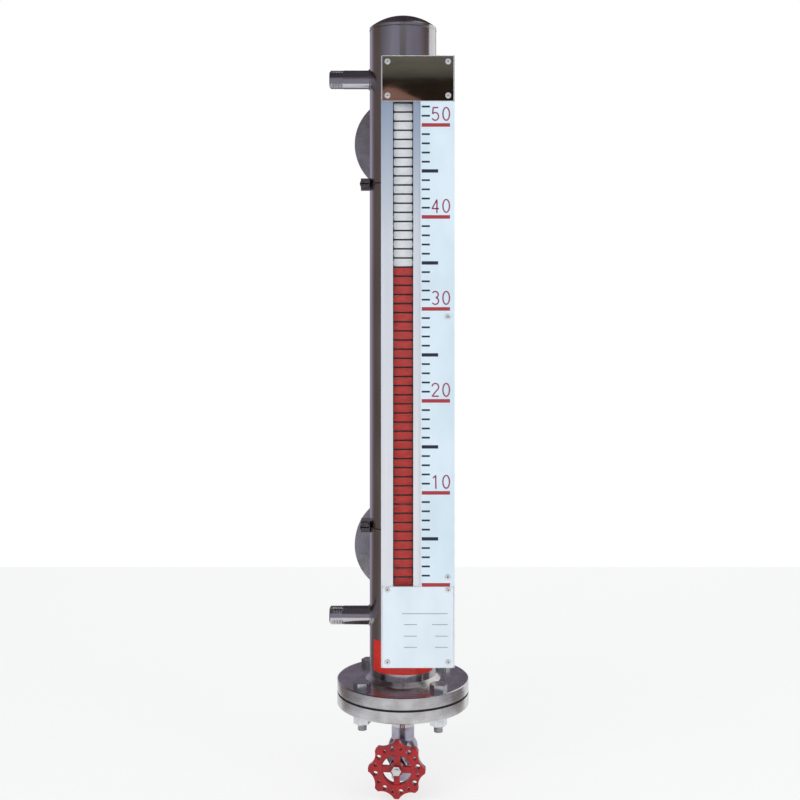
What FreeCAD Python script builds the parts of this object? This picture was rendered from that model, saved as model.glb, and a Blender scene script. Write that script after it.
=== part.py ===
import FreeCAD, Part
import os
import re
import Sketcher

# Magnetic level gauge with a heating jacket, side process flanges and a drain valve.
# The origin is the centre of the lower process flange's sealing face, +Y points out of it
# towards the tank, +X to the right of the scale and +Z up. Lengths are in millimetres.

# Driving sizes; heights count from the lower process axis, depths go down from it
SIZES = {
    # Process connections
    "face_to_axis": 145.0,
    "process_spacing": 500.0,
    "process_flange_diameter": 120.0,
    "process_flange_thickness": 14.0,
    "raised_face_diameter": 68.0,
    "raised_face_height": 2.0,
    "process_bolt_circle": 90.0,
    "process_hole_diameter": 14.0,
    "nozzle_diameter": 33.7,
    "nozzle_wall": 3.4,
    "nozzle_setback": 4.0,
    # Heating jacket
    "jacket_diameter": 76.0,
    "jacket_wall": 3.0,
    "jacket_headroom": 10.0,
    "cap_rim": 3.0,
    "cap_rise": 13.5,
    "nipple_diameter": 21.3,
    "nipple_wall": 2.65,
    "nipple_reach": 84.0,
    "upper_nipple_rise": 60.0,
    "lower_nipple_to_flange": 70.5,
    "thread_length": 16.0,
    "thread_relief": 0.7,
    "thread_chamfer": 1.5,
    # Chamber and float
    "jacket_gap": 6.5,
    "chamber_wall": 2.5,
    "chamber_headroom": 100.0,
    "plug_thickness": 6.0,
    "float_gap": 4.0,
    "float_wall": 0.8,
    "float_dome": 13.0,
    "float_below_magnet": 95.0,
    "float_above_magnet": 50.0,
    "magnet_height": 24.0,
    "magnet_bore": 20.0,
    "float_nest": 7.4,
    "spring_gap": 3.5,
    "spring_wire": 3.0,
    "spring_pitch": 9.0,
    "upper_spring_height": 27.0,
    "lower_spring_height": 36.0,
    # Bottom flange pair
    "panel_to_flange": 32.5,
    "body_flange_thickness": 13.0,
    "flange_rim": 15.0,
    "flange_edge_break": 0.8,
    "gasket_thickness": 2.5,
    "gasket_inset": 1.0,
    "weld_leg": 5.0,
    "weld_to_bolt": 17.0,
    "bolt_turn": 4.25,
    "bolt_diameter": 10.0,
    "bolt_play": 0.5,
    "head_height": 6.5,
    "head_across_flats": 17.0,
    "washer_diameter": 20.0,
    "washer_thickness": 2.0,
    "nut_height": 8.4,
    "nut_turn": 10.0,
    "bolt_overhang": 7.5,
    # Drain pipe and gate valve
    "drain_pipe_diameter": 26.0,
    "drain_bore": 14.0,
    "drain_setback": 3.0,
    "drain_pipe_length": 26.0,
    "inlet_to_stem": 26.0,
    "stem_to_outlet": 34.0,
    "valve_turn": 6.0,
    "valve_bulge": 4.0,
    "valve_neck_wall": 2.3,
    "outlet_wall": 3.7,
    "outlet_length": 14.0,
    "gate_overlap": 1.7,
    "gate_thickness": 9.0,
    "gate_block_start": 4.0,
    "gate_block_end": 17.0,
    "gate_block_width": 12.0,
    "gate_clearance": 0.3,
    "gate_side_room": 0.4051,
    "gate_end_room": 1.3,
    "bonnet_seat": 20.0,
    "bonnet_side_wall": 2.8,
    "bonnet_end_wall": 1.7,
    "bonnet_wall": 4.7,
    "stuffing_diameter": 18.0,
    "stuffing_bore": 12.0,
    "collar_diameter": 10.0,
    "collar_thickness": 2.7,
    "packing_length": 4.0,
    "gland_spigot_length": 3.7,
    "gland_hex_length": 6.0,
    "gland_across_flats": 17.0,
    "stem_diameter": 5.0,
    "stem_start": 9.5,
    "stem_shoulder_diameter": 7.0,
    "stem_shoulder_length": 3.0,
    "running_clearance": 0.05,
    "gate_screw_clearance": 0.1,
    # Hand wheel
    "gland_to_shoulder": 1.0,
    "hub_length": 8.0,
    "hub_diameter": 14.7,
    "rim_setback": 1.0,
    "rim_depth": 8.0,
    "rim_diameter": 63.0,
    "rim_width": 15.1,
    "scallop_radius": 16.0,
    "scallop_outset": 11.3,
    "lobe_round": 1.8,
    "rim_hole_inset": 7.8,
    "large_rim_hole": 5.4,
    "small_rim_hole": 3.6,
    "spoke_width": 6.6,
    "spoke_depth": 5.0,
    "wheel_nut_height": 4.5,
    "wheel_nut_across_flats": 9.5,
    "stem_overhang": 1.2,
    # Indicator panel
    "saddle_gap": 5.0,
    "spine_thickness": 11.5,
    "left_margin": 11.0,
    "end_cap_thickness": 1.5,
    "plate_thickness": 1.0,
    "channel_wall": 2.5,
    "window_lip": 2.0,
    "window_lip_cover": 2.0,
    "glass_thickness": 2.0,
    "glass_play": 0.1,
    "web_offset": 22.5,
    "web_thickness": 5.0,
    "spine_screw_depth": 6.0,
    "cap_screw_diameter": 3.5,
    "cap_screw_head": 6.0,
    "cap_screw_head_height": 2.4,
    "cap_screw_length": 10.0,
    # Flaps
    "flap_pitch": 10.0,
    "flap_gap": 1.2,
    "flap_front_room": 3.1,
    "flap_back_room": 1.6,
    "flap_thickness": 3.0,
    "flap_half_width": 10.8,
    "flap_side_gap": 0.5,
    "rail_thickness": 1.7,
    "flap_pin_diameter": 1.5,
    "flap_pin_reach": 1.3,
    # Front plates and rivets
    "strip_width": 7.9,
    "scale_width": 37.1,
    "scale_bottom_depth": 2.5,
    "top_plate_height": 50.0,
    "name_plate_height": 88.5,
    "top_plate_margin": 0.5,
    "name_plate_margin": 1.0,
    "plate_corner": 3.5,
    "rivet_inset": 6.5,
    "name_rivet_drop": 3.5,
    "scale_rivet_inset": 7.5,
    "upper_scale_rivet": 291.0,
    "lower_scale_rivet": 8.0,
    "rivet_head": 6.5,
    "rivet_head_height": 1.2,
    "rivet_shank": 3.2,
    "rivet_bore": 2.0,
    "rivet_grip": 5.0,
    # Clamps
    "upper_clamp_drop": 60.0,
    "lower_clamp_height": 50.0,
    "band_width": 12.0,
    "band_thickness": 1.0,
    "saddle_half_width": 18.0,
    "saddle_height": 34.0,
    "saddle_screw_spread": 12.0,
    "saddle_screw_diameter": 4.0,
    "saddle_screw_head": 7.0,
    "saddle_screw_sink": 2.2,
    "saddle_screw_length": 12.0,
    "clamp_housing_length": 18.0,
    "clamp_housing_height": 13.0,
    "clamp_housing_depth": 9.0,
    "worm_diameter": 6.0,
    "worm_head_diameter": 11.0,
    "worm_head_length": 5.0,
    "worm_tail": 2.0,
    # Sticker round the foot of the jacket
    "label_thickness": 0.3,
    "label_angle": 120.0,
    "label_height": 35.0,
    "label_to_flange": 13.5,
}

FLANGE_BOLTS = 4
PROCESS_HOLES = 4
WHEEL_LOBES = 8
FLAP_COUNT = 53
FIRST_TURNING_FLAP = 29
LAST_TURNING_FLAP = 40

# Sizes that follow from the driving ones
DERIVED = {
    "chamber_diameter": "jacket_diameter - 2 * jacket_wall - 2 * jacket_gap",
    "chamber_bore": "chamber_diameter - 2 * chamber_wall",
    "chamber_top": "process_spacing + chamber_headroom",
    "jacket_top": "chamber_top + plug_thickness + jacket_headroom",
    "upper_nipple_height": "process_spacing + upper_nipple_rise",
    "lower_nipple_depth": "flange_depth - lower_nipple_to_flange",
    "nozzle_bore": "nozzle_diameter - 2 * nozzle_wall",
    "nipple_bore": "nipple_diameter - 2 * nipple_wall",
    "float_diameter": "chamber_bore - 2 * float_gap",
    "float_low": "lower_spring_height + spring_wire - float_nest - drain_flange_top_depth",
    "magnet_middle": "float_low + float_below_magnet",
    "float_high": "magnet_middle + float_above_magnet",
    "spring_diameter": "chamber_bore - 2 * spring_gap - spring_wire",
    "flange_depth": "panel_bottom_depth + panel_to_flange",
    "bolt_circle": "jacket_diameter + 2 * weld_leg + 2 * weld_to_bolt",
    "body_flange_diameter": "bolt_circle + 2 * flange_rim",
    "gasket_diameter": "body_flange_diameter - 2 * gasket_inset",
    "bolt_hole_diameter": "bolt_diameter + 2 * bolt_play",
    "gasket_top_depth": "flange_depth + body_flange_thickness",
    "drain_flange_top_depth": "gasket_top_depth + gasket_thickness",
    "drain_flange_bottom_depth": "drain_flange_top_depth + body_flange_thickness",
    "washer_bottom_depth": "drain_flange_bottom_depth + washer_thickness",
    "nut_bottom_depth": "washer_bottom_depth + nut_height",
    "valve_top_depth": "drain_flange_bottom_depth + drain_pipe_length",
    "stem_depth": "valve_top_depth + inlet_to_stem",
    "valve_bottom_depth": "stem_depth + stem_to_outlet",
    "outlet_diameter": "drain_pipe_diameter - 2 * outlet_wall",
    "gate_radius": "drain_bore / 2 + gate_overlap",
    "gate_travel": "drain_bore / 2 + gate_radius + gate_clearance",
    "gate_corner": "sqrt(gate_radius * gate_radius + gate_thickness * gate_thickness / 4)",
    "cavity_diameter": "2 * gate_corner + 2 * gate_side_room",
    "cavity_end": "gate_block_end + gate_travel + gate_end_room",
    "hexagon_end": "cavity_end + bonnet_end_wall",
    "recess_start": "cavity_end + bonnet_wall",
    "collar_start": "recess_start + gate_clearance",
    "packing_start": "collar_start + collar_thickness + gate_clearance",
    "packing_end": "packing_start + packing_length",
    "stuffing_end": "packing_end + gland_spigot_length",
    "shoulder_start": "stuffing_end + gland_hex_length + gland_to_shoulder",
    "hub_start": "shoulder_start + stem_shoulder_length",
    "rim_start": "hub_start + rim_setback",
    "rim_opening": "rim_diameter - 2 * rim_width",
    "scallop_offset": "rim_diameter / 2 + scallop_outset",
    "flap_height": "flap_pitch - flap_gap",
    "rail_inner": "flap_half_width + flap_side_gap",
    "cavity_half_width": "rail_inner + rail_thickness",
    "window_half_width": "cavity_half_width - window_lip_cover",
    "glass_back_depth": "plate_thickness + window_lip + glass_thickness",
    "flap_axis_depth": "glass_back_depth + flap_height / 2 + flap_front_room",
    "flap_cavity_depth": "flap_axis_depth + flap_height / 2 + flap_back_room",
    "panel_depth": "flap_cavity_depth + spine_thickness",
    "panel_front": "jacket_diameter / 2 + saddle_gap + panel_depth",
    "panel_left": "cavity_half_width + left_margin",
    "scale_left": "window_half_width + strip_width",
    "panel_right": "scale_left + scale_width",
    "scale_top": "flap_span - flap_pitch / 2",
    "panel_top": "scale_top + top_plate_height",
    "panel_bottom_depth": "scale_bottom_depth + name_plate_height",
    "web_left": "cavity_half_width + web_offset",
    "web_right": "web_left + web_thickness",
    "upper_clamp_height": "process_spacing - upper_clamp_drop",
    "label_bottom_depth": "flange_depth - label_to_flange",
    "label_top_depth": "label_bottom_depth - label_height",
    "flap_span": f"{FLAP_COUNT} * flap_pitch",
}

# How far a cutting shape runs past the faces it cuts
PAST = 1

doc = FreeCAD.newDocument("MagneticLevelGauge")
sheet = doc.addObject("Spreadsheet::Sheet", "Sizes")
for row, (alias, value) in enumerate(SIZES.items(), start=1):
    sheet.set(f"A{row}", alias.replace("_", " "))
    sheet.set(f"B{row}", str(value))
    sheet.setAlias(f"B{row}", alias)
doc.recompute()

PIECES = []

# Lines and faces that several pieces share
AXIS = "-face_to_axis"
JACKET_RADIUS = "jacket_diameter / 2"
FLANGE_TOP = "-flange_depth"
PLATE_FRONT = "(-face_to_axis - panel_front)"
CHANNEL_FRONT = f"({PLATE_FRONT} + plate_thickness)"
CHANNEL_BACK = f"({PLATE_FRONT} + panel_depth)"
GLASS_FRONT = f"({CHANNEL_FRONT} + window_lip)"
GLASS_BACK = f"({PLATE_FRONT} + glass_back_depth)"
CAVITY_BACK = f"({PLATE_FRONT} + flap_cavity_depth)"
FLAP_AXIS = f"({PLATE_FRONT} + flap_axis_depth)"
CHANNEL_BOTTOM = "(-panel_bottom_depth + end_cap_thickness)"
CHANNEL_TOP = "(panel_top - end_cap_thickness)"


def bound(expression):
    """Expression with derived sizes written out and the sheet's name before each driving size."""
    def replaced(word):
        name = word.group()
        if name in DERIVED:
            return f"({bound(DERIVED[name])})"
        return f"Sizes.{name}" if name in SIZES else name
    return re.sub(r"[A-Za-z_]\w*", replaced, str(expression))


def tie(item, **expressions):
    """Bind properties of an object to expressions of the sizes."""
    for name, expression in expressions.items():
        item.setExpression(name, bound(expression))
    return item


def at(across, along, up, turn="rotationz(0)"):
    """Placement expression at a point, turned as said."""
    return f"placement(vector({across}; {along}; {up}); {turn})"


def on_stem(distance):
    """Placement whose Z runs out along the valve stem, starting at a distance from the pipe axis."""
    corner = at("0", AXIS, "-stem_depth", "rotationz(-valve_turn) * rotationx(90)")
    return f"{corner} * {at('0', '0', distance)}"


def part(kind, where, **expressions):
    """A Part primitive at a placement expression."""
    return tie(doc.addObject("Part::" + kind, kind), Placement=where, **expressions)


def rod(diameter, bottom, top):
    """Upright cylinder on the chamber axis between two heights."""
    return part("Cylinder", at("0", AXIS, bottom), Radius=f"({diameter}) / 2", Height=f"({top}) - ({bottom})")


def block(low, high):
    """Box between its low and high corners, each three expressions."""
    sides = [f"({far}) - ({near})" for near, far in zip(low, high)]
    return part("Box", at(*low), Length=sides[0], Width=sides[1], Height=sides[2])


def cross_rod(diameter, where, length):
    """Cylinder from a placement along its own Z."""
    return part("Cylinder", where, Radius=f"({diameter}) / 2", Height=length)


def hexagon(across_flats, where, length):
    """Hexagonal prism from a placement along its own Z."""
    prism = part("Prism", where, Circumradius=f"({across_flats}) / sqrt(3)", Height=length)
    prism.Polygon = 6
    return prism


def fuse(*shapes):
    """One solid from several that meet."""
    joined = doc.addObject("Part::MultiFuse", "Joined")
    joined.Shapes = list(shapes)
    joined.Refine = True
    return joined


def cut(base, *tools):
    """The base with the tools taken away."""
    result = doc.addObject("Part::Cut", "Trimmed")
    result.Base = base
    result.Tool = tools[0] if len(tools) == 1 else fuse(*tools)
    return result


def group(*solids):
    """Separate solids that share one node."""
    together = doc.addObject("Part::Compound", "Set")
    together.Links = list(solids)
    return together


def piece(node, item):
    """Keep an object as the sub-part of that name."""
    item.Label = node
    PIECES.append(item)
    return item


def sketch_in(body, role):
    """Empty sketch on one of the body's own origin planes."""
    sketch = body.newObject("Sketcher::SketchObject", "Outline")
    plane = [feature for feature in body.Origin.OriginFeatures if feature.Role == role][0]
    sketch.AttachmentSupport = (plane, [""])
    sketch.MapMode = "FlatFace"
    return sketch


def draw_outline(sketch, corners):
    """Closed straight outline whose corners are pairs of expressions."""
    first = sketch.GeometryCount
    count = len(corners)
    start = [FreeCAD.Vector(index + 1, (index + 1) ** 2, 0) for index in range(count)]
    lines = [Part.LineSegment(start[index], start[(index + 1) % count]) for index in range(count)]
    sketch.addGeometry(lines, False)
    joints = []
    places = []
    for index in range(count):
        line = first + index
        joints.append(Sketcher.Constraint("Coincident", line, 2, first + (index + 1) % count, 1))
        places.append(Sketcher.Constraint("DistanceX", -1, 1, line, 1, start[index].x))
        places.append(Sketcher.Constraint("DistanceY", -1, 1, line, 1, start[index].y))
    sketch.addConstraint(joints)
    offset = sketch.ConstraintCount
    sketch.addConstraint(places)
    for index, corner in enumerate(corners):
        for side in (0, 1):
            sketch.setExpression(f"Constraints[{offset + 2 * index + side}]", bound(corner[side]))


def draw_circle(sketch, across, up, diameter):
    """Circle at a pair of expressions."""
    circle = sketch.addGeometry(Part.Circle(FreeCAD.Vector(1, 1, 0), FreeCAD.Vector(0, 0, 1), 1), False)
    sizes = [
        (Sketcher.Constraint("DistanceX", -1, 1, circle, 3, 1), across),
        (Sketcher.Constraint("DistanceY", -1, 1, circle, 3, 1), up),
        (Sketcher.Constraint("Diameter", circle, 2), diameter),
    ]
    for constraint, expression in sizes:
        index = sketch.addConstraint(constraint)
        sketch.setExpression(f"Constraints[{index}]", bound(expression))


def new_body(where):
    """Part design body at a placement expression."""
    return tie(doc.addObject("PartDesign::Body", "Body"), Placement=where)


def turned(where, corners):
    """Body turned about its own Z from a half section of (radius, height) expressions."""
    body = new_body(where)
    sketch = sketch_in(body, "XZ_Plane")
    draw_outline(sketch, corners)
    revolution = body.newObject("PartDesign::Revolution", "Turned")
    revolution.Profile = sketch
    revolution.ReferenceAxis = (sketch, ["V_Axis"])
    revolution.Angle = 360
    return body


def drill_circle(body, circle_diameter, hole_diameter, count):
    """Holes through the body on a circle about its own Z."""
    sketch = sketch_in(body, "XY_Plane")
    draw_circle(sketch, f"({circle_diameter}) / 2", "0", hole_diameter)
    pocket = body.newObject("PartDesign::Pocket", "Hole")
    pocket.Profile = sketch
    pocket.Type = "ThroughAll"
    pocket.Midplane = True
    pattern = body.newObject("PartDesign::PolarPattern", "Holes")
    pattern.Originals = [pocket]
    pattern.Axis = (sketch, ["N_Axis"])
    pattern.Angle = 360
    pattern.Occurrences = count
    body.Tip = pattern
    return body


def padded(where, role, outlines, length):
    """Body with straight outlines on one origin plane, padded by a length."""
    body = new_body(where)
    sketch = sketch_in(body, role)
    for corners in outlines:
        draw_outline(sketch, corners)
    pad = body.newObject("PartDesign::Pad", "Pad")
    pad.Profile = sketch
    tie(pad, Length=length)
    return body


def round_corners(body, radius, along):
    """Fillet of the body's edges that run along one of its own axes."""
    doc.recompute()
    base = body.Tip
    names = []
    for index, edge in enumerate(base.Shape.Edges, start=1):
        way = edge.tangentAt(edge.FirstParameter)
        if abs(way.dot(along)) > 0.999:
            names.append(f"Edge{index}")
    fillet = body.newObject("PartDesign::Fillet", "Corners")
    fillet.Base = (base, names)
    return tie(fillet, Radius=radius)


def rounded(base, radius):
    """Fillet of the edges that run along the base's own Z."""
    doc.recompute()
    along = base.Base.Placement.Rotation.multVec(FreeCAD.Vector(0, 0, 1))
    edges = []
    for index, edge in enumerate(base.Shape.Edges, start=1):
        way = edge.tangentAt(edge.FirstParameter)
        if edge.Curve.TypeId == "Part::GeomLine" and abs(way.dot(along)) > 0.999:
            edges.append((index, radius, radius))
    fillet = doc.addObject("Part::Fillet", "Rounded")
    fillet.Base = base
    fillet.Edges = edges
    return fillet


def process_connections():
    """Nozzle pipes and process flanges at the back, one pair at each end of the range."""
    for name, height in (("lower", "0"), ("upper", "process_spacing")):
        along = at("0", AXIS, height, "rotationx(-90)")
        pipe = cross_rod("nozzle_diameter", along, "face_to_axis - nozzle_setback")
        bore = cross_rod("nozzle_bore", along, "face_to_axis")
        saddle = rod("chamber_diameter", f"{height} - nozzle_diameter", f"{height} + nozzle_diameter")
        piece(f"{name}_nozzle", cut(pipe, bore, saddle))
        total = "(process_flange_thickness + raised_face_height)"
        flange = turned(
            at("0", f"-{total}", height, "rotationx(-90) * rotationz(45)"),
            [
                ("nozzle_diameter / 2", "0"),
                ("process_flange_diameter / 2", "0"),
                ("process_flange_diameter / 2", "process_flange_thickness"),
                ("raised_face_diameter / 2", "process_flange_thickness"),
                ("raised_face_diameter / 2", total),
                ("nozzle_diameter / 2", total),
            ],
        )
        drill_circle(flange, "process_bolt_circle", "process_hole_diameter", PROCESS_HOLES)
        piece(f"{name}_process_flange", flange)


def chamber():
    """Inner float chamber with its end plug."""
    wall = rod("chamber_diameter", "-gasket_top_depth + drain_setback", "chamber_top")
    bore = rod("chamber_bore", f"-gasket_top_depth - {PAST}", f"chamber_top + {PAST}")
    ports = [
        cross_rod("nozzle_bore", at("0", AXIS, height, "rotationx(-90)"), "chamber_diameter")
        for height in ("0", "process_spacing")
    ]
    piece("chamber_tube", cut(wall, bore, *ports))
    piece("chamber_top_plug", rod("chamber_diameter", "chamber_top", "chamber_top + plug_thickness"))


def heating_jacket():
    """Outer tube with its dished cap and the two threaded nipples on the left."""
    wall = rod("jacket_diameter", FLANGE_TOP, "jacket_top")
    bore = rod("jacket_diameter - 2 * jacket_wall", f"{FLANGE_TOP} - {PAST}", f"jacket_top + {PAST}")
    nozzle_ports = [
        cross_rod("nozzle_diameter", at("0", AXIS, height, "rotationx(-90)"), "jacket_diameter")
        for height in ("0", "process_spacing")
    ]
    nipples = (("lower", "-lower_nipple_depth"), ("upper", "upper_nipple_height"))
    nipple_ports = [
        cross_rod("nipple_bore", at("0", AXIS, height, "rotationy(-90)"), "jacket_diameter")
        for name, height in nipples
    ]
    piece("jacket_tube", cut(wall, bore, *nozzle_ports, *nipple_ports))

    dish = "((jacket_diameter * jacket_diameter / 4 + cap_rise * cap_rise) / (2 * cap_rise))"
    centre = f"jacket_top + cap_rim + cap_rise - {dish}"
    shells = []
    for inset in ("0", "jacket_wall"):
        ball = part("Sphere", at("0", AXIS, centre), Radius=f"{dish} - {inset}")
        column = rod(f"jacket_diameter - 2 * {inset}", "jacket_top", "jacket_top + cap_rim + cap_rise")
        dome = doc.addObject("Part::Common", "Dome")
        dome.Base = ball
        dome.Tool = column
        shells.append(dome)
    piece("jacket_cap", cut(*shells))

    for name, height in nipples:
        thread_start = "(nipple_reach - thread_length)"
        thread_radius = "(nipple_diameter / 2 - thread_relief)"
        stub = turned(
            at("0", AXIS, height, "rotationy(-90)"),
            [
                ("nipple_bore / 2", "jacket_diameter / 2 - nipple_diameter / 2"),
                ("nipple_diameter / 2", "jacket_diameter / 2 - nipple_diameter / 2"),
                ("nipple_diameter / 2", thread_start),
                (thread_radius, thread_start),
                (thread_radius, "nipple_reach - thread_chamfer"),
                (f"{thread_radius} - thread_chamfer", "nipple_reach"),
                ("nipple_bore / 2", "nipple_reach"),
            ],
        )
        saddle = rod("jacket_diameter", f"{height} - nipple_diameter", f"{height} + nipple_diameter")
        piece(f"{name}_jacket_nipple", cut(stub, saddle))


def flange_pair():
    """Chamber flange with its weld, gasket, drain flange and the four bolt sets."""
    turn = "rotationz(45 - bolt_turn)"
    outer = "body_flange_diameter / 2"
    chamber_flange = turned(
        at("0", AXIS, "-gasket_top_depth", turn),
        [
            ("chamber_diameter / 2", "0"),
            (outer, "0"),
            (outer, "body_flange_thickness - flange_edge_break"),
            (f"{outer} - flange_edge_break", "body_flange_thickness"),
            (f"{JACKET_RADIUS} + weld_leg", "body_flange_thickness"),
            (JACKET_RADIUS, "body_flange_thickness + weld_leg"),
            (JACKET_RADIUS, "body_flange_thickness"),
            ("chamber_diameter / 2", "body_flange_thickness"),
        ],
    )
    drill_circle(chamber_flange, "bolt_circle", "bolt_hole_diameter", FLANGE_BOLTS)
    piece("chamber_flange", chamber_flange)

    gasket = turned(
        at("0", AXIS, "-drain_flange_top_depth", turn),
        [
            ("chamber_diameter / 2", "0"),
            ("gasket_diameter / 2", "0"),
            ("gasket_diameter / 2", "gasket_thickness"),
            ("chamber_diameter / 2", "gasket_thickness"),
        ],
    )
    drill_circle(gasket, "bolt_circle", "bolt_hole_diameter", FLANGE_BOLTS)
    piece("flange_gasket", gasket)

    drain_flange = turned(
        at("0", AXIS, "-drain_flange_bottom_depth", turn),
        [
            ("drain_pipe_diameter / 2", "0"),
            (f"{outer} - flange_edge_break", "0"),
            (outer, "flange_edge_break"),
            (outer, "body_flange_thickness"),
            ("drain_pipe_diameter / 2", "body_flange_thickness"),
        ],
    )
    drill_circle(drain_flange, "bolt_circle", "bolt_hole_diameter", FLANGE_BOLTS)
    piece("drain_flange", drain_flange)

    bolts = []
    washers = []
    nuts = []
    for index in range(FLANGE_BOLTS):
        angle = f"({45 + index * 360 / FLANGE_BOLTS} - bolt_turn) * 1 deg"
        across = f"bolt_circle / 2 * cos({angle})"
        along = f"-face_to_axis + bolt_circle / 2 * sin({angle})"
        shank_end = "(-nut_bottom_depth - bolt_overhang)"
        shank = cross_rod("bolt_diameter", at(across, along, shank_end), f"-flange_depth - {shank_end}")
        head = hexagon("head_across_flats", at(across, along, FLANGE_TOP), "head_height")
        bolts.append(fuse(shank, head))
        bore_length = f"nut_height + washer_thickness + {PAST}"
        bore = cross_rod("bolt_diameter", at(across, along, "-nut_bottom_depth"), bore_length)
        washer = cross_rod("washer_diameter", at(across, along, "-washer_bottom_depth"), "washer_thickness")
        washers.append(cut(washer, bore))
        nut_place = at(across, along, "-nut_bottom_depth", "rotationz(nut_turn)")
        nut = hexagon("head_across_flats", nut_place, "nut_height")
        nuts.append(cut(nut, bore))
    piece("flange_bolts", group(*bolts))
    piece("flange_washers", group(*washers))
    piece("flange_nuts", group(*nuts))


def float_and_springs():
    """Hollow float with its ring magnet, at rest on the lower of the two buffer springs."""
    shells = []
    for inset in ("0", "float_wall"):
        ends = []
        for height in ("float_low + float_dome", "float_high - float_dome"):
            dome = part("Ellipsoid", at("0", AXIS, height))
            tie(dome, Radius1=f"float_dome - {inset}")
            tie(dome, Radius2=f"float_diameter / 2 - {inset}", Radius3=f"float_diameter / 2 - {inset}")
            ends.append(dome)
        side = rod(f"float_diameter - 2 * {inset}", "float_low + float_dome", "float_high - float_dome")
        shells.append(fuse(side, *ends))
    piece("float_shell", cut(*shells))

    magnet_low = "(magnet_middle - magnet_height / 2)"
    magnet_high = "(magnet_middle + magnet_height / 2)"
    ring = rod("float_diameter - 2 * float_wall", magnet_low, magnet_high)
    bore = rod("magnet_bore", f"{magnet_low} - {PAST}", f"{magnet_high} + {PAST}")
    piece("float_magnet", cut(ring, bore))

    springs = (
        ("lower_buffer_spring", "-drain_flange_top_depth + spring_wire / 2", "lower_spring_height"),
        ("upper_buffer_spring", "chamber_top - spring_wire / 2 - upper_spring_height", "upper_spring_height"),
    )
    for name, bottom, height in springs:
        path = part("Helix", at("0", "0", "0"), Pitch="spring_pitch", Height=height, Radius="spring_diameter / 2")
        path.SegmentLength = 1
        doc.recompute()
        wire = part("Circle", at("spring_diameter / 2", "0", "0", "rotationx(90)"), Radius="spring_wire / 2")
        coil = doc.addObject("Part::Sweep", "Coil")
        coil.Sections = [wire]
        coil.Spine = (path, [f"Edge{index}" for index in range(1, len(path.Shape.Edges) + 1)])
        coil.Solid = True
        coil.Frenet = True
        piece(name, tie(coil, Placement=at("0", AXIS, bottom)))


def drain_valve():
    """Drain pipe and gate valve; the wedge slides along the stem, which turns with the hand wheel."""
    pipe = rod("drain_pipe_diameter", "-valve_top_depth", "-drain_flange_top_depth - drain_setback")
    flow = rod("drain_bore", f"-valve_bottom_depth - {PAST}", "-drain_flange_top_depth")
    piece("drain_pipe", cut(pipe, flow))

    run = rod("drain_pipe_diameter", "-valve_bottom_depth", "-valve_top_depth")
    bulge = part("Sphere", at("0", AXIS, "-stem_depth"), Radius="drain_pipe_diameter / 2 + valve_bulge")
    neck = cross_rod("cavity_diameter + 2 * valve_neck_wall", on_stem("0"), "bonnet_seat")
    cavity = cross_rod("cavity_diameter", on_stem("0"), "cavity_end")
    seat_half = "(gate_thickness / 2 + gate_clearance)"
    seat_diameter = "2 * (gate_radius + gate_clearance)"
    seat = rod(seat_diameter, f"-stem_depth - {seat_half}", f"-stem_depth + {seat_half}")
    outlet = rod("outlet_diameter", f"-valve_bottom_depth - {PAST}", "-valve_bottom_depth + outlet_length")
    piece("valve_body", cut(fuse(run, bulge, neck), flow, cavity, seat, outlet))

    stem_hole = "stem_diameter + 2 * running_clearance"
    passage = cross_rod(stem_hole, on_stem("cavity_end"), "stuffing_end")
    recess = cross_rod("stuffing_bore", on_stem("recess_start"), "stuffing_end")
    hexagon_part = hexagon(
        "cavity_diameter + 2 * bonnet_side_wall", on_stem("bonnet_seat"), "hexagon_end - bonnet_seat"
    )
    stuffing = cross_rod("stuffing_diameter", on_stem("bonnet_seat"), "stuffing_end - bonnet_seat")
    piece("valve_bonnet", cut(fuse(hexagon_part, stuffing), cavity, passage, recess))

    packing = cross_rod("stuffing_bore", on_stem("packing_start"), "packing_length")
    piece("gland_packing", cut(packing, passage))
    spigot = cross_rod("stuffing_bore", on_stem("packing_end"), "gland_spigot_length")
    gland_head = hexagon("gland_across_flats", on_stem("stuffing_end"), "gland_hex_length")
    piece("gland_nut", cut(fuse(spigot, gland_head), passage))

    wedge = rod("2 * gate_radius", "-stem_depth - gate_thickness / 2", "-stem_depth + gate_thickness / 2")
    half = "gate_block_width / 2"
    lift_block = part(
        "Box",
        f"{on_stem('gate_block_start')} * {at(f'-{half}', f'-{half}', '0')}",
        Length="gate_block_width",
        Width="gate_block_width",
        Height="gate_block_end - gate_block_start",
    )
    screw_start = "(stem_start - gate_travel - gate_clearance)"
    screw_bore = "stem_diameter + 2 * gate_screw_clearance"
    screw_hole = cross_rod(screw_bore, on_stem(screw_start), "gate_block_end + gate_travel")
    piece("valve_gate", cut(fuse(wedge, lift_block), screw_hole))

    radius = "stem_diameter / 2"
    collar_end = "collar_start + collar_thickness"
    stem_end = "hub_start + hub_length + wheel_nut_height + stem_overhang"
    stem = turned(
        on_stem("0"),
        [
            ("0", "stem_start"),
            (radius, "stem_start"),
            (radius, "collar_start"),
            ("collar_diameter / 2", "collar_start"),
            ("collar_diameter / 2", collar_end),
            (radius, collar_end),
            (radius, "shoulder_start"),
            ("stem_shoulder_diameter / 2", "shoulder_start"),
            ("stem_shoulder_diameter / 2", "hub_start"),
            (radius, "hub_start"),
            (radius, stem_end),
            ("0", stem_end),
        ],
    )
    piece("valve_stem", stem)
    nut = hexagon("wheel_nut_across_flats", on_stem("hub_start + hub_length"), "wheel_nut_height")
    bore_length = f"hub_length + wheel_nut_height + {2 * PAST}"
    bore = cross_rod("stem_diameter", on_stem(f"hub_start - {PAST}"), bore_length)
    piece("handwheel_nut", cut(nut, bore))
    piece("handwheel", handwheel(bore))


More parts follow.
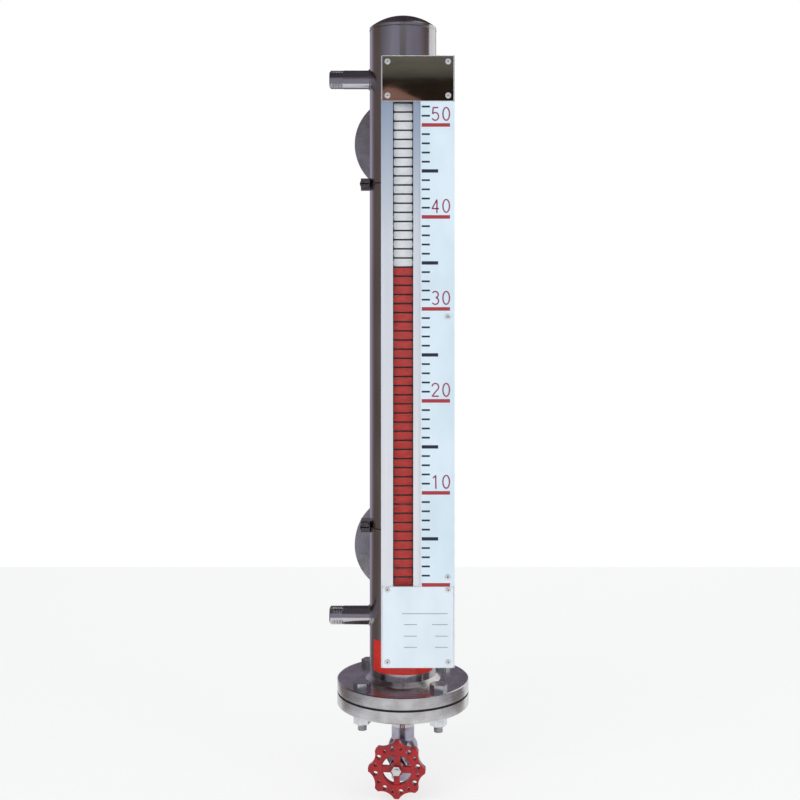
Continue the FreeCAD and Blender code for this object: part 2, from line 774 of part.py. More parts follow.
def handwheel(bore):
    """Lobed rim with two sizes of hole, four spokes and a hub on the stem."""
    def around(radius, angle, start="rim_start"):
        """Place on the rim at a radius and an angle in degrees."""
        across = f"({radius}) * cos({angle} * 1 deg)"
        up = f"({radius}) * sin({angle} * 1 deg)"
        return f"{on_stem(start)} * {at(across, up, '0')}"

    step = 360 / WHEEL_LOBES
    hole_offset = "rim_diameter / 2 - rim_hole_inset"
    spoke_length = f"rim_opening + {2 * PAST}"
    scallops = []
    openings = [cross_rod("rim_opening", on_stem("rim_start"), "rim_depth")]
    for index in range(WHEEL_LOBES):
        valley = (index + 0.5) * step
        scallops.append(cross_rod("2 * scallop_radius", around("scallop_offset", valley), "rim_depth"))
        larger = index * step + step / 4
        smaller = index * step - step / 4
        openings.append(cross_rod("large_rim_hole", around(hole_offset, larger), "rim_depth"))
        openings.append(cross_rod("small_rim_hole", around(hole_offset, smaller), "rim_depth"))
    blank = cut(cross_rod("rim_diameter", on_stem("rim_start"), "rim_depth"), *scallops)
    rim = cut(rounded(blank, sheet.lobe_round), *openings)
    spoke_start = "rim_start + (rim_depth - spoke_depth) / 2"
    spokes = []
    for angle in (0, 90):
        where = f"{on_stem(spoke_start)} * {at('0', '0', '0', f'rotationz({angle})')}"
        where = f"{where} * {at(f'-rim_opening / 2 - {PAST}', '-spoke_width / 2', '0')}"
        spokes.append(part("Box", where, Length=spoke_length, Width="spoke_width", Height="spoke_depth"))
    hub = cross_rod("hub_diameter", on_stem("hub_start"), "hub_length")
    return cut(fuse(rim, hub, *spokes), bore)


def channel():
    """Aluminium channel with the window slot, its end caps and the screws that hold them."""
    left = "-panel_left"
    right = "panel_right"
    inner_front = f"({CHANNEL_FRONT} + channel_wall)"
    inner_back = f"({CHANNEL_BACK} - channel_wall)"
    section = [
        (left, CHANNEL_BACK),
        (right, CHANNEL_BACK),
        (right, CHANNEL_FRONT),
        ("window_half_width", CHANNEL_FRONT),
        ("window_half_width", GLASS_FRONT),
        ("cavity_half_width", GLASS_FRONT),
        ("cavity_half_width", CAVITY_BACK),
        ("-cavity_half_width", CAVITY_BACK),
        ("-cavity_half_width", GLASS_FRONT),
        ("-window_half_width", GLASS_FRONT),
        ("-window_half_width", CHANNEL_FRONT),
        (left, CHANNEL_FRONT),
    ]
    hollows = [
        ("-panel_left + channel_wall", "-cavity_half_width - channel_wall"),
        ("cavity_half_width + channel_wall", "web_left"),
        ("web_right", "panel_right - channel_wall"),
    ]
    outlines = [section]
    for near, far in hollows:
        outlines.append([(near, inner_front), (near, inner_back), (far, inner_back), (far, inner_front)])
    profile = padded(at("0", "0", CHANNEL_BOTTOM), "XY_Plane", outlines, f"{CHANNEL_TOP} - {CHANNEL_BOTTOM}")

    web = "(web_left + web_right) / 2"
    middle = f"({CHANNEL_FRONT} + {CHANNEL_BACK}) / 2"
    screw_places = ((web, middle), ("0", f"{CHANNEL_BACK} - spine_screw_depth"))
    screws = []
    holes = []
    for across, along in screw_places:
        for end, way in (("panel_top", "rotationx(180)"), ("-panel_bottom_depth", "rotationx(0)")):
            shank = cross_rod("cap_screw_diameter", at(across, along, end, way), "cap_screw_length")
            outward = "rotationx(0)" if end == "panel_top" else "rotationx(180)"
            head = cross_rod("cap_screw_head", at(across, along, end, outward), "cap_screw_head_height")
            screws.append(fuse(shank, head))
            holes.append(shank)
    piece("cap_screws", group(*screws))

    for name, low, high in (
        ("channel_cap_top", CHANNEL_TOP, "panel_top"),
        ("channel_cap_bottom", "-panel_bottom_depth", CHANNEL_BOTTOM),
    ):
        plate = block((left, CHANNEL_FRONT, low), (right, CHANNEL_BACK, high))
        piece(name, cut(plate, *holes))
    return cut(profile, *holes)


def window():
    """Glass strip behind the window lips."""
    half = "(cavity_half_width - glass_play)"
    piece("window_glass", block(
        (f"-{half}", GLASS_FRONT, CHANNEL_BOTTOM),
        (half, GLASS_BACK, CHANNEL_TOP),
    ))


def flap(index):
    """Flap plate and its pin, as two overlapping shapes."""
    height = f"({index} * flap_pitch)"
    plate = block(
        ("-flap_half_width", f"{FLAP_AXIS} - flap_thickness / 2", f"{height} - flap_height / 2"),
        ("flap_half_width", f"{FLAP_AXIS} + flap_thickness / 2", f"{height} + flap_height / 2"),
    )
    reach = "(rail_inner + flap_pin_reach)"
    where = at(f"-{reach}", FLAP_AXIS, height, "rotationy(90)")
    pin = cross_rod("flap_pin_diameter", where, f"2 * {reach}")
    return plate, pin


def flaps():
    """Flaps that turn on pins in the rails, and the rails with the flaps that stay fused to them."""
    low = "(-scale_bottom_depth)"
    rack = [
        block(("-cavity_half_width", GLASS_BACK, low), ("-rail_inner", CAVITY_BACK, "scale_top")),
        block(("rail_inner", GLASS_BACK, low), ("cavity_half_width", CAVITY_BACK, "scale_top")),
    ]
    bearings = []
    for index in range(FLAP_COUNT):
        if FIRST_TURNING_FLAP <= index <= LAST_TURNING_FLAP:
            piece(f"flap_{index:02d}", fuse(*flap(index)))
            where = at(f"-cavity_half_width - {PAST}", FLAP_AXIS, f"{index} * flap_pitch", "rotationy(90)")
            hole = "flap_pin_diameter + 2 * running_clearance"
            bearings.append(cross_rod(hole, where, f"2 * cavity_half_width + {2 * PAST}"))
        else:
            rack.extend(flap(index))
    piece("flap_rack", cut(fuse(*rack), *bearings))


def front_plates(profile):
    """Scale, top and name plates riveted to the channel, which gets the same holes."""
    top_left = "(-panel_left + top_plate_margin)"
    top_right = "(panel_right - top_plate_margin)"
    name_left = "(-panel_left + name_plate_margin)"
    name_right = "(panel_right - name_plate_margin)"
    places = []
    for across in ("-panel_left + top_plate_margin + rivet_inset", "panel_right - top_plate_margin - rivet_inset"):
        places.append((across, "scale_top + rivet_inset"))
        places.append((across, "panel_top - rivet_inset"))
        places.append((across, "-scale_bottom_depth - name_rivet_drop"))
        places.append((across, "-panel_bottom_depth + rivet_inset"))
    for height in ("upper_scale_rivet", "lower_scale_rivet"):
        places.append(("panel_right - scale_rivet_inset", height))
    rivets = []
    shanks = []
    for across, height in places:
        where = at(across, PLATE_FRONT, height, "rotationx(-90)")
        shank = cross_rod("rivet_shank", where, "rivet_grip")
        head = part(
            "Cone",
            at(across, PLATE_FRONT, height, "rotationx(90)"),
            Radius1="rivet_head / 2",
            Radius2="rivet_head / 2 - rivet_head_height",
            Height="rivet_head_height",
        )
        start = at(across, f"{PLATE_FRONT} - rivet_head_height", height, "rotationx(-90)")
        hollow = cross_rod("rivet_bore", start, "rivet_head_height + rivet_grip / 2")
        rivets.append(cut(fuse(shank, head), hollow))
        shanks.append(shank)
    piece("plate_rivets", group(*rivets))
    piece("indicator_channel", cut(profile, *shanks))

    plates = (
        ("scale_plate", "scale_left", "panel_right", "-scale_bottom_depth", "scale_top", False),
        ("top_plate", top_left, top_right, "scale_top", "panel_top", True),
        ("name_plate", name_left, name_right, "-panel_bottom_depth", "-scale_bottom_depth", True),
    )
    for name, near, far, low, high, rounded_corners in plates:
        corners = [(near, low), (far, low), (far, high), (near, high)]
        plate = padded(at("0", CHANNEL_FRONT, "0"), "XZ_Plane", [corners], "plate_thickness")
        if rounded_corners:
            round_corners(plate, "plate_corner", FreeCAD.Vector(0, 1, 0))
        piece(name, cut(plate, *shanks))


def clamps():
    """Worm clamps round the jacket and the saddles that carry the panel."""
    saddle_screws = []
    screws_of_clamps = []
    for name, height in (("lower", "lower_clamp_height"), ("upper", "upper_clamp_height")):
        low = f"({height} - band_width / 2)"
        high = f"({height} + band_width / 2)"
        outer = "jacket_diameter + 2 * band_thickness"
        band = cut(rod(outer, low, high), rod("jacket_diameter", low, high))
        piece(f"{name}_clamp_band", band)

        saddle = block(
            ("-saddle_half_width", CHANNEL_BACK, f"{height} - saddle_height / 2"),
            ("saddle_half_width", AXIS, f"{height} + saddle_height / 2"),
        )
        jacket = rod("jacket_diameter", f"{height} - saddle_height", f"{height} + saddle_height")
        tools = [jacket, rod(outer, low, high)]
        for side in ("-", "+"):
            up = f"{height} {side} saddle_screw_spread"
            seat = at("0", f"-face_to_axis - {JACKET_RADIUS}", up, "rotationx(90)")
            sunk = cross_rod("saddle_screw_head", seat, "saddle_screw_sink")
            shank = cross_rod("saddle_screw_diameter", seat, "saddle_screw_length")
            screw = fuse(sunk, shank)
            saddle_screws.append(screw)
            tools.append(screw)
        piece(f"{name}_saddle", cut(saddle, *tools))

        side = f"(-{JACKET_RADIUS} - band_thickness - clamp_housing_depth)"
        half_length = "clamp_housing_length / 2"
        half_height = "clamp_housing_height / 2"
        case = block(
            (side, f"-face_to_axis - {half_length}", f"{height} - {half_height}"),
            (f"-{JACKET_RADIUS} + band_thickness", f"-face_to_axis + {half_length}", f"{height} + {half_height}"),
        )
        worm_across = f"-{JACKET_RADIUS} - band_thickness - clamp_housing_depth / 2"
        tail = at(worm_across, f"-face_to_axis + {half_length} + worm_tail", height, "rotationx(90)")
        worm = cross_rod("worm_diameter", tail, "clamp_housing_length + worm_tail")
        face = at(worm_across, f"-face_to_axis - {half_length}", height, "rotationx(90)")
        head = cross_rod("worm_head_diameter", face, "worm_head_length")
        screws_of_clamps.append(fuse(worm, head))
        piece(f"{name}_clamp_housing", cut(case, rod(outer, low, high), jacket, worm))
    piece("saddle_screws", group(*saddle_screws))
    piece("clamp_screws", group(*screws_of_clamps))
    return saddle_screws


def tube_label():
    """Sticker round the front of the jacket's foot."""
    where = at("0", AXIS, "-label_bottom_depth", "rotationz(-90 - label_angle / 2)")
    height = "label_bottom_depth - label_top_depth"
    radius = f"{JACKET_RADIUS} + label_thickness"
    sector = part("Cylinder", where, Radius=radius, Height=height, Angle="label_angle")
    inside = rod("jacket_diameter", f"-label_bottom_depth - {PAST}", f"-label_top_depth + {PAST}")
    piece("tube_label", cut(sector, inside))


process_connections()
chamber()
heating_jacket()
flange_pair()
float_and_springs()
drain_valve()
profile = channel()
window()
flaps()
front_plates(cut(profile, *clamps()))
tube_label()
doc.recompute()

# Nothing is written unless every object and every sub-part is sound
for item in doc.Objects:
    if "Invalid" in item.State or "Error" in item.State:
        raise RuntimeError(f"{item.Name} ({item.Label}) failed: {item.State}")
for item in PIECES:
    if item.Shape.isNull() or not item.Shape.isValid() or not item.Shape.Solids:
        raise RuntimeError(f"{item.Label} has no sound solid")

os.makedirs("parts", exist_ok=True)
for item in PIECES:
    item.Shape.exportStep(f"parts/{item.Label}.step")
print(f"{len(PIECES)} sub-parts written")
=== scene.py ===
import math

import bmesh
import bpy
import numpy as np
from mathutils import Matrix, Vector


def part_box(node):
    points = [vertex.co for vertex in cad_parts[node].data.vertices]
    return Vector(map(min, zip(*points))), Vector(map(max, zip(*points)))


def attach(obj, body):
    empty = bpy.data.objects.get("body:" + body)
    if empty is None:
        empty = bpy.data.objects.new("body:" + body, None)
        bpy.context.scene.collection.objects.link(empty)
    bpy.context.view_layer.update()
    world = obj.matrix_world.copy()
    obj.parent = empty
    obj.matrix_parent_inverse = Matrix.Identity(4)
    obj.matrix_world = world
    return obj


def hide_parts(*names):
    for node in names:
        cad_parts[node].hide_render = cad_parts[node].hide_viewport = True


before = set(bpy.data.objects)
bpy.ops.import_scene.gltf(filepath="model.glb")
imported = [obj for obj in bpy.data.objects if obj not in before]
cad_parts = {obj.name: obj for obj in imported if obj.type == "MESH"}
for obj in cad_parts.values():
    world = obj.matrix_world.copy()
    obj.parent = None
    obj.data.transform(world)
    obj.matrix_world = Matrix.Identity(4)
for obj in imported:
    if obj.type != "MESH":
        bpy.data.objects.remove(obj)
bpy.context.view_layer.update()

MM = 0.001

# Places of the CAD model that the added pieces sit on, and heights of print, in millimetres
AXIS_Y = -145.0
JACKET_RADIUS = 38.0
JACKET_TOP = 616.0
FLANGE_TOP = -123.5
DRAIN_FLANGE_BOTTOM = -152.0
PLATE_FRONT = -218.0
MARK_FRONT = PLATE_FRONT - 0.06
RULE_FRONT = PLATE_FRONT - 0.05
MARK_LEFT = 20.2
FLAP_AXIS = -205.5
FLAP_PITCH = 10.0
FLAP_COUNT = 53
RAIL_BOTTOM = -2.5
RAIL_TOP = 525.0
LEVEL = 345.0
MARK_DROP = 0.6
TURNING_FLAPS = range(29, 41)
CLAMP_HEIGHTS = {"lower": 50.0, "upper": 440.0}
NIPPLE_HEIGHTS = {"lower": -53.0, "upper": 560.0}
NOZZLE_HEIGHTS = {"lower": 0.0, "upper": 500.0}

# Places of the stage, in metres
FLOOR_HEIGHT = -0.2385
WALL_FOOT = -0.236
WALL_TOP = 2.4
WALL_RADIUS = 2.2
GAUGE_MIDDLE = (0.0, -0.15, 0.2)


# Materials

def linear(code):
    """Linear colour of an sRGB hex code."""
    channels = [int(code[start:start + 2], 16) / 255 for start in (1, 3, 5)]
    return tuple(c / 12.92 if c <= 0.04045 else ((c + 0.055) / 1.055) ** 2.4 for c in channels) + (1.0,)


def add(tree, kind, values=None, links=None, **settings):
    """Shader node with its settings, its sockets' values and what feeds them."""
    new = tree.nodes.new("ShaderNode" + kind)
    for name, value in settings.items():
        setattr(new, name, value)
    for socket, value in (values or {}).items():
        new.inputs[socket].default_value = value
    for socket, source in (links or {}).items():
        tree.links.new(source, new.inputs[socket])
    return new


def new_material(name, **shader_values):
    """Material with a Principled shader whose constants sit on its own sockets."""
    material = bpy.data.materials.new(name)
    material.use_nodes = True
    tree = material.node_tree
    shader = tree.nodes["Principled BSDF"]
    for socket, value in shader_values.items():
        shader.inputs[socket.replace("_", " ")].default_value = value
    return material, tree, shader


def ramp(tree, source, stops):
    """Colours between positions along a value."""
    node = add(tree, "ValToRGB", links={"Fac": source})
    elements = node.color_ramp.elements
    while len(elements) < len(stops):
        elements.new(0.5)
    for element, (position, code) in zip(elements, stops):
        element.position = position
        element.color = linear(code)
    return node.outputs["Color"]


def object_point(tree, centre=(0.0, 0.0, 0.0)):
    """Object coordinates in metres, counted from a centre in millimetres."""
    source = add(tree, "TexCoord").outputs["Object"]
    shift = tuple(-value * MM for value in centre)
    return add(tree, "Mapping", {"Location": shift}, {"Vector": source}).outputs["Vector"]


def stretched(tree, point, lengths_mm):
    """Coordinates in which one unit is the given length along X, Y and Z."""
    scale = tuple(1 / (length * MM) for length in lengths_mm)
    return add(tree, "VectorMath", {1: scale}, {0: point}, operation="MULTIPLY").outputs["Vector"]


def around(tree, point, axis, ring_mm, along_mm):
    """Coordinates of a turned part: distance from the axis and height along it, in grooves."""
    flat = tuple(0.0 if index == axis else 1.0 for index in range(3))
    spread = add(tree, "VectorMath", {1: flat}, {0: point}, operation="MULTIPLY").outputs["Vector"]
    radius = add(tree, "VectorMath", links={0: spread}, operation="LENGTH").outputs["Value"]
    parts = add(tree, "SeparateXYZ", links={0: point}).outputs
    ring = add(tree, "Math", {1: 1 / (ring_mm * MM)}, {0: radius}, operation="MULTIPLY").outputs[0]
    height = add(tree, "Math", {1: 1 / (along_mm * MM)}, {0: parts[axis]}, operation="MULTIPLY").outputs[0]
    return add(tree, "CombineXYZ", links={"X": ring, "Y": height}).outputs["Vector"]


def noise(tree, vector, detail=3.0, roughness=0.5, scale=1.0):
    """Noise value from 0 to 1 at a vector."""
    values = {"Scale": scale, "Detail": detail, "Roughness": roughness}
    return add(tree, "TexNoise", values, {"Vector": vector}).outputs["Fac"]


def spread(tree, source, low, high, source_low=0.3, source_high=0.7):
    """The part of a value between two levels, moved to another span."""
    values = {"From Min": source_low, "From Max": source_high, "To Min": low, "To Max": high}
    return add(tree, "MapRange", values, {"Value": source}).outputs["Result"]


def raise_bump(tree, shader, height, distance_mm, strength=0.4):
    """Bump of a real height in millimetres on the shader's normal."""
    bump = add(tree, "Bump", {"Strength": strength, "Distance": distance_mm * MM}, {"Height": height})
    tree.links.new(bump.outputs["Normal"], shader.inputs["Normal"])


def worked_metal(name, codes, grain, mottle, roughness, grain_bump, centre=(0.0, 0.0, 0.0), axis=None):
    """Bare metal with tool marks and slow mottling.

    Without an axis the marks are as long as grain says along X, Y and Z. With one they run round it,
    and grain gives their spacing across the face and along the axis.
    """
    material, tree, shader = new_material(name, Metallic=1.0)
    point = object_point(tree, centre)
    marks = stretched(tree, point, grain) if axis is None else around(tree, point, axis, *grain)
    fine = noise(tree, marks, 4.0, 0.6)
    broad = noise(tree, stretched(tree, point, mottle), 3.0, 0.5)
    blend = add(tree, "Math", {1: 0.35}, {0: fine, 2: broad}, operation="MULTIPLY_ADD").outputs[0]
    positions = (0.42, 0.62, 0.82)
    tree.links.new(ramp(tree, blend, list(zip(positions, codes))), shader.inputs["Base Color"])
    tree.links.new(spread(tree, fine, *roughness), shader.inputs["Roughness"])
    raise_bump(tree, shader, fine, grain_bump)
    return material


def drawn_steel(name, along):
    """Drawn stainless tube, polished lengthwise: long faint lines and a slow change of tone."""
    grain = tuple(80.0 if index == along else 1.2 for index in range(3))
    mottle = tuple(140.0 if index == along else 30.0 for index in range(3))
    return worked_metal(
        name, ("#B3AFAE", "#C2BFC1", "#CFCDD1"), grain, mottle,
        roughness=(0.13, 0.2), grain_bump=0.004, centre=(0.0, AXIS_Y, 0.0),
    )


def turned_steel(name, axis, centre):
    """Lathe-turned stainless flange: rings on the faces, fine lines round the rim, dull mottling."""
    return worked_metal(
        name, ("#B6B2B0", "#C6C4C4", "#D6D6D8"), grain=(0.9, 0.5), mottle=(16.0, 16.0, 12.0),
        roughness=(0.18, 0.34), grain_bump=0.012, centre=centre, axis=axis,
    )


def zinc_plate():
    """Bright zinc-plated steel: pale and bluish with a cloudy gloss."""
    return worked_metal(
        "zinc_plated_steel", ("#C3C6CA", "#D4D7DA", "#E4E6E8"),
        grain=(3.0, 3.0, 3.0), mottle=(9.0, 9.0, 9.0), roughness=(0.16, 0.26), grain_bump=0.008,
    )


def threaded_zinc():
    """Zinc-plated bolts: a metric thread of 1.5 mm pitch on the ends below the nuts."""
    material, tree, shader = new_material("zinc_plated_bolts", Metallic=1.0)
    point = object_point(tree)
    parts = add(tree, "SeparateXYZ", links={0: point}).outputs
    turns = add(tree, "Math", {1: 1 / (1.5 * MM)}, {0: parts["Z"]}, operation="MULTIPLY").outputs[0]
    tooth = add(tree, "Math", {1: 0.5}, {0: turns}, operation="PINGPONG").outputs[0]
    below = add(tree, "Math", {1: -0.15}, {0: parts["Z"]}, operation="LESS_THAN").outputs[0]
    height = add(tree, "Math", links={0: tooth, 1: below}, operation="MULTIPLY").outputs[0]
    cloudy = noise(tree, stretched(tree, point, (3.0, 3.0, 3.0)))
    tree.links.new(ramp(tree, cloudy, [(0.3, "#AEB1B5"), (0.7, "#D5D8DB")]), shader.inputs["Base Color"])
    tree.links.new(spread(tree, cloudy, 0.2, 0.36), shader.inputs["Roughness"])
    raise_bump(tree, shader, height, 1.4, 1.0)
    return material


def cast_brass():
    """Nickel-plated cast valve body: fine sand texture under a soft grey-violet shine."""
    return worked_metal(
        "nickel_plated_brass", ("#8E8C9A", "#A2A0AE", "#B6B4C4"),
        grain=(1.2, 1.2, 1.2), mottle=(11.0, 11.0, 11.0), roughness=(0.24, 0.38), grain_bump=0.03,
    )


def bright_steel():
    """Ground bright steel of the stem and its nut."""
    return worked_metal(
        "bright_ground_steel", ("#B2B4B6", "#C6C8CA", "#D8DADC"),
        grain=(0.4, 3.0, 0.4), mottle=(6.0, 6.0, 6.0), roughness=(0.16, 0.3), grain_bump=0.01,
    )


def anodised_aluminium():
    """Clear-anodised extruded aluminium: matt satin with extrusion lines along its length.

    Its colour goes from near white low down to grey-blue at the top, a painted reflection.
    """
    material, tree, shader = new_material("anodised_aluminium", Metallic=0.35)
    point = object_point(tree)
    lines = noise(tree, stretched(tree, point, (0.35, 0.35, 220.0)), 4.0, 0.6)
    parts = add(tree, "SeparateXYZ", links={0: point}).outputs
    height = spread(tree, parts["Z"], 0.0, 1.0, 0.1, 0.55)
    # painted reflection: the base colour fades by height from near white low down to grey-blue at the top
    tone = ramp(tree, height, [(0.0, "#F6F8FA"), (0.6, "#E8EEF4"), (1.0, "#8FA2BC")])
    shade = ramp(tree, lines, [(0.3, "#DCDEE2"), (0.7, "#FFFFFF")])
    mixed = add(
        tree, "Mix", {"Factor": 0.5}, {"A": tone, "B": shade}, data_type="RGBA", blend_type="MULTIPLY",
    )
    tree.links.new(mixed.outputs["Result"], shader.inputs["Base Color"])
    tree.links.new(spread(tree, lines, 0.34, 0.5), shader.inputs["Roughness"])
    raise_bump(tree, shader, lines, 0.02)
    return material


def printed_plate(name, low, high):
    """Screen-printed, lacquered aluminium sheet: smooth pale ground with a faint cloud and orange peel."""
    material, tree, shader = new_material(name, Metallic=0.0, Specular_IOR_Level=0.45)
    point = object_point(tree)
    cloud = noise(tree, stretched(tree, point, (30.0, 30.0, 60.0)), 2.0, 0.5)
    tree.links.new(ramp(tree, cloud, [(0.35, low), (0.65, high)]), shader.inputs["Base Color"])
    peel = noise(tree, stretched(tree, point, (1.2, 1.2, 1.2)), 2.0, 0.5)
    tree.links.new(spread(tree, peel, 0.3, 0.38), shader.inputs["Roughness"])
    raise_bump(tree, shader, peel, 0.01, 0.25)
    return material


def mirror_steel():
    """Mirror-polished stainless plate with a few hairline wipes."""
    material, tree, shader = new_material("mirror_polished_steel", Metallic=1.0)
    point = object_point(tree)
    wipes = noise(tree, stretched(tree, point, (30.0, 30.0, 9.0)), 3.0, 0.6)
    tree.links.new(ramp(tree, wipes, [(0.35, "#C0BBB6"), (0.65, "#CCC8C4")]), shader.inputs["Base Color"])
    tree.links.new(spread(tree, wipes, 0.02, 0.05), shader.inputs["Roughness"])
    raise_bump(tree, shader, wipes, 0.004, 0.1)
    return material


def red_enamel():
    """Thick red stoving enamel on the cast wheel: glossy, with a slight orange peel and thin edges."""
    material, tree, shader = new_material(
        "red_enamel", Coat_Weight=0.25, Coat_Roughness=0.1, Specular_IOR_Level=0.35,
    )
    point = object_point(tree, (0.0, AXIS_Y, -204.0))
    peel = noise(tree, stretched(tree, point, (1.6, 1.6, 1.6)), 2.0, 0.5)
    pool = noise(tree, stretched(tree, point, (9.0, 9.0, 9.0)), 2.0, 0.5)
    tree.links.new(ramp(tree, pool, [(0.25, "#82101A"), (0.75, "#B2181E")]), shader.inputs["Base Color"])
    tree.links.new(spread(tree, peel, 0.26, 0.38), shader.inputs["Roughness"])
    raise_bump(tree, shader, peel, 0.05, 0.3)
    return material


def flap_plastic():
    """Moulded flaps, red on one side and white on the other: slightly grained gloss.

    A flap below the level shows red at the front, so a point is red where it lies in front of the
    flap axis and below the level, or behind it and above the level.
    """
    material, tree, shader = new_material("moulded_flap_plastic", Specular_IOR_Level=0.4)
    point = object_point(tree, (0.0, FLAP_AXIS, LEVEL))
    parts = add(tree, "SeparateXYZ", links={0: point}).outputs
    front = add(tree, "Math", {1: 0.0}, {0: parts["Y"]}, operation="LESS_THAN").outputs[0]
    low = add(tree, "Math", {1: 0.0}, {0: parts["Z"]}, operation="LESS_THAN").outputs[0]
    same = add(tree, "Math", {2: 0.1}, {0: front, 1: low}, operation="COMPARE").outputs[0]
    cloud = noise(tree, stretched(tree, point, (9.0, 9.0, 4.0)), 2.0, 0.5)
    white = ramp(tree, cloud, [(0.3, "#F2F5FB"), (0.7, "#FFFFFF")])
    red = ramp(tree, cloud, [(0.3, "#C0241C"), (0.7, "#DC3024")])
    mixed = add(tree, "Mix", links={"Factor": same, "A": white, "B": red}, data_type="RGBA")
    tree.links.new(mixed.outputs["Result"], shader.inputs["Base Color"])
    grain = noise(tree, stretched(tree, point, (0.5, 0.5, 0.5)), 2.0, 0.5)
    tree.links.new(spread(tree, grain, 0.3, 0.42), shader.inputs["Roughness"])
    raise_bump(tree, shader, grain, 0.01, 0.25)
    return material


def plain_surface(name, codes, grain_mm, roughness, bump_mm, metallic=0.0, **shader_values):
    """Even surface of two close tones with a fine grain: rubber, print, film, plastic, pressed metal."""
    material, tree, shader = new_material(name, Metallic=metallic, **shader_values)
    point = object_point(tree)
    grain = noise(tree, stretched(tree, point, (grain_mm, grain_mm, grain_mm)), 3.0, 0.55)
    tree.links.new(ramp(tree, grain, list(zip((0.3, 0.7), codes))), shader.inputs["Base Color"])
    tree.links.new(spread(tree, grain, *roughness), shader.inputs["Roughness"])
    raise_bump(tree, shader, grain, bump_mm)
    return material


def window_pane():
    """Clear float glass: nearly all light goes through, a thin sheen stays."""
    material, tree, shader = new_material("clear_float_glass", IOR=1.5, Alpha=0.05)
    haze = noise(tree, stretched(tree, object_point(tree), (40.0, 40.0, 90.0)))
    tree.links.new(ramp(tree, haze, [(0.3, "#5F6E6E"), (0.7, "#748484")]), shader.inputs["Base Color"])
    tree.links.new(spread(tree, haze, 0.03, 0.07), shader.inputs["Roughness"])
    return material


def weld_steel():
    """Bare weld metal: fine grained, with straw and violet heat tint."""
    return worked_metal(
        "stainless_weld_metal", ("#A0968F", "#B2ABA8", "#CBC8CB"),
        grain=(1.6, 1.6, 1.6), mottle=(6.0, 6.0, 6.0), roughness=(0.22, 0.34), grain_bump=0.03,
    )


STEEL = drawn_steel("drawn_stainless_upright", 2)
NIPPLE_STEEL = drawn_steel("drawn_stainless_nipple", 0)
NOZZLE_STEEL = drawn_steel("drawn_stainless_nozzle", 1)
BODY_FLANGE = turned_steel("turned_flange_steel", 2, (0.0, AXIS_Y, 0.0))
LOWER_FLANGE = turned_steel("lower_process_flange_steel", 1, (0.0, 0.0, NOZZLE_HEIGHTS["lower"]))
UPPER_FLANGE = turned_steel("upper_process_flange_steel", 1, (0.0, 0.0, NOZZLE_HEIGHTS["upper"]))
ZINC = zinc_plate()
BOLTS = threaded_zinc()
BRASS = cast_brass()
BRIGHT = bright_steel()
ALUMINIUM = anodised_aluminium()
SCALE_GROUND = printed_plate("printed_scale_plate", "#CADCE6", "#D4E4EE")
NAME_GROUND = printed_plate("printed_name_plate", "#D6E2EA", "#DEE9F0")
MIRROR = mirror_steel()
ENAMEL = red_enamel()
FLAP_MATERIAL = flap_plastic()
RAIL = plain_surface("dark_rail_plastic", ("#2E3742", "#3A4552"), 1.0, (0.45, 0.6), 0.02)
GLASS = window_pane()
RUBBER = plain_surface("gasket_rubber", ("#18181A", "#262629"), 0.8, (0.6, 0.8), 0.06)
GRAPHITE = plain_surface("graphite_packing", ("#202124", "#33353A"), 0.6, (0.45, 0.65), 0.08)
FERRITE = plain_surface("sintered_ferrite", ("#2C2B2C", "#3C3B3C"), 0.5, (0.5, 0.65), 0.03)
RED_FILM = plain_surface(
    "red_vinyl_film", ("#D42218", "#DC2A1E"), 30.0, (0.22, 0.28), 0.002, Coat_Weight=0.1, Coat_Roughness=0.1,
)
# Rivet aluminium, also used for the painted highlight strips along the plates' edges.
RIVET = plain_surface("tumbled_rivet_aluminium_and_rim_highlight", ("#DADBDE", "#EEEEF0"), 1.2, (0.3, 0.42), 0.01, 0.45)
CLAMP = plain_surface("pressed_clamp_steel", ("#6E6964", "#98938E"), 2.0, (0.2, 0.32), 0.01, 1.0)
SPRING = plain_surface("spring_wire_steel", ("#7B7A78", "#949391"), 1.0, (0.25, 0.4), 0.02, 1.0)
SHEET_STEEL = plain_surface("pickled_float_steel", ("#A3A3A4", "#BABABB"), 5.0, (0.28, 0.42), 0.02, 1.0)
WELD = weld_steel()
MARK_BLUE = plain_surface("dark_blue_print", ("#1B2638", "#263347"), 1.0, (0.35, 0.5), 0.01)
MARK_NAVY = plain_surface("navy_print", ("#1D2336", "#283046"), 1.0, (0.35, 0.5), 0.01)
MARK_RED = plain_surface("crimson_print", ("#A02A33", "#AE343C"), 1.0, (0.35, 0.5), 0.01)
NUMERAL_RED = plain_surface("purple_red_print", ("#8C244C", "#9A2D58"), 1.0, (0.35, 0.5), 0.01)
BACKING = plain_surface("dark_blue_backing_film", ("#252C45", "#313A57"), 2.0, (0.5, 0.65), 0.01)
MARK_GREY = plain_surface("grey_print", ("#5C6B78", "#6D7C88"), 1.0, (0.35, 0.5), 0.01)
# Painted shade of the screw slots: a dark surface on the head in place of the slot's recess.
SLOT_DARK = plain_surface("slot_shadow_steel", ("#1B1B1D", "#29292B"), 1.0, (0.5, 0.7), 0.01, 1.0)

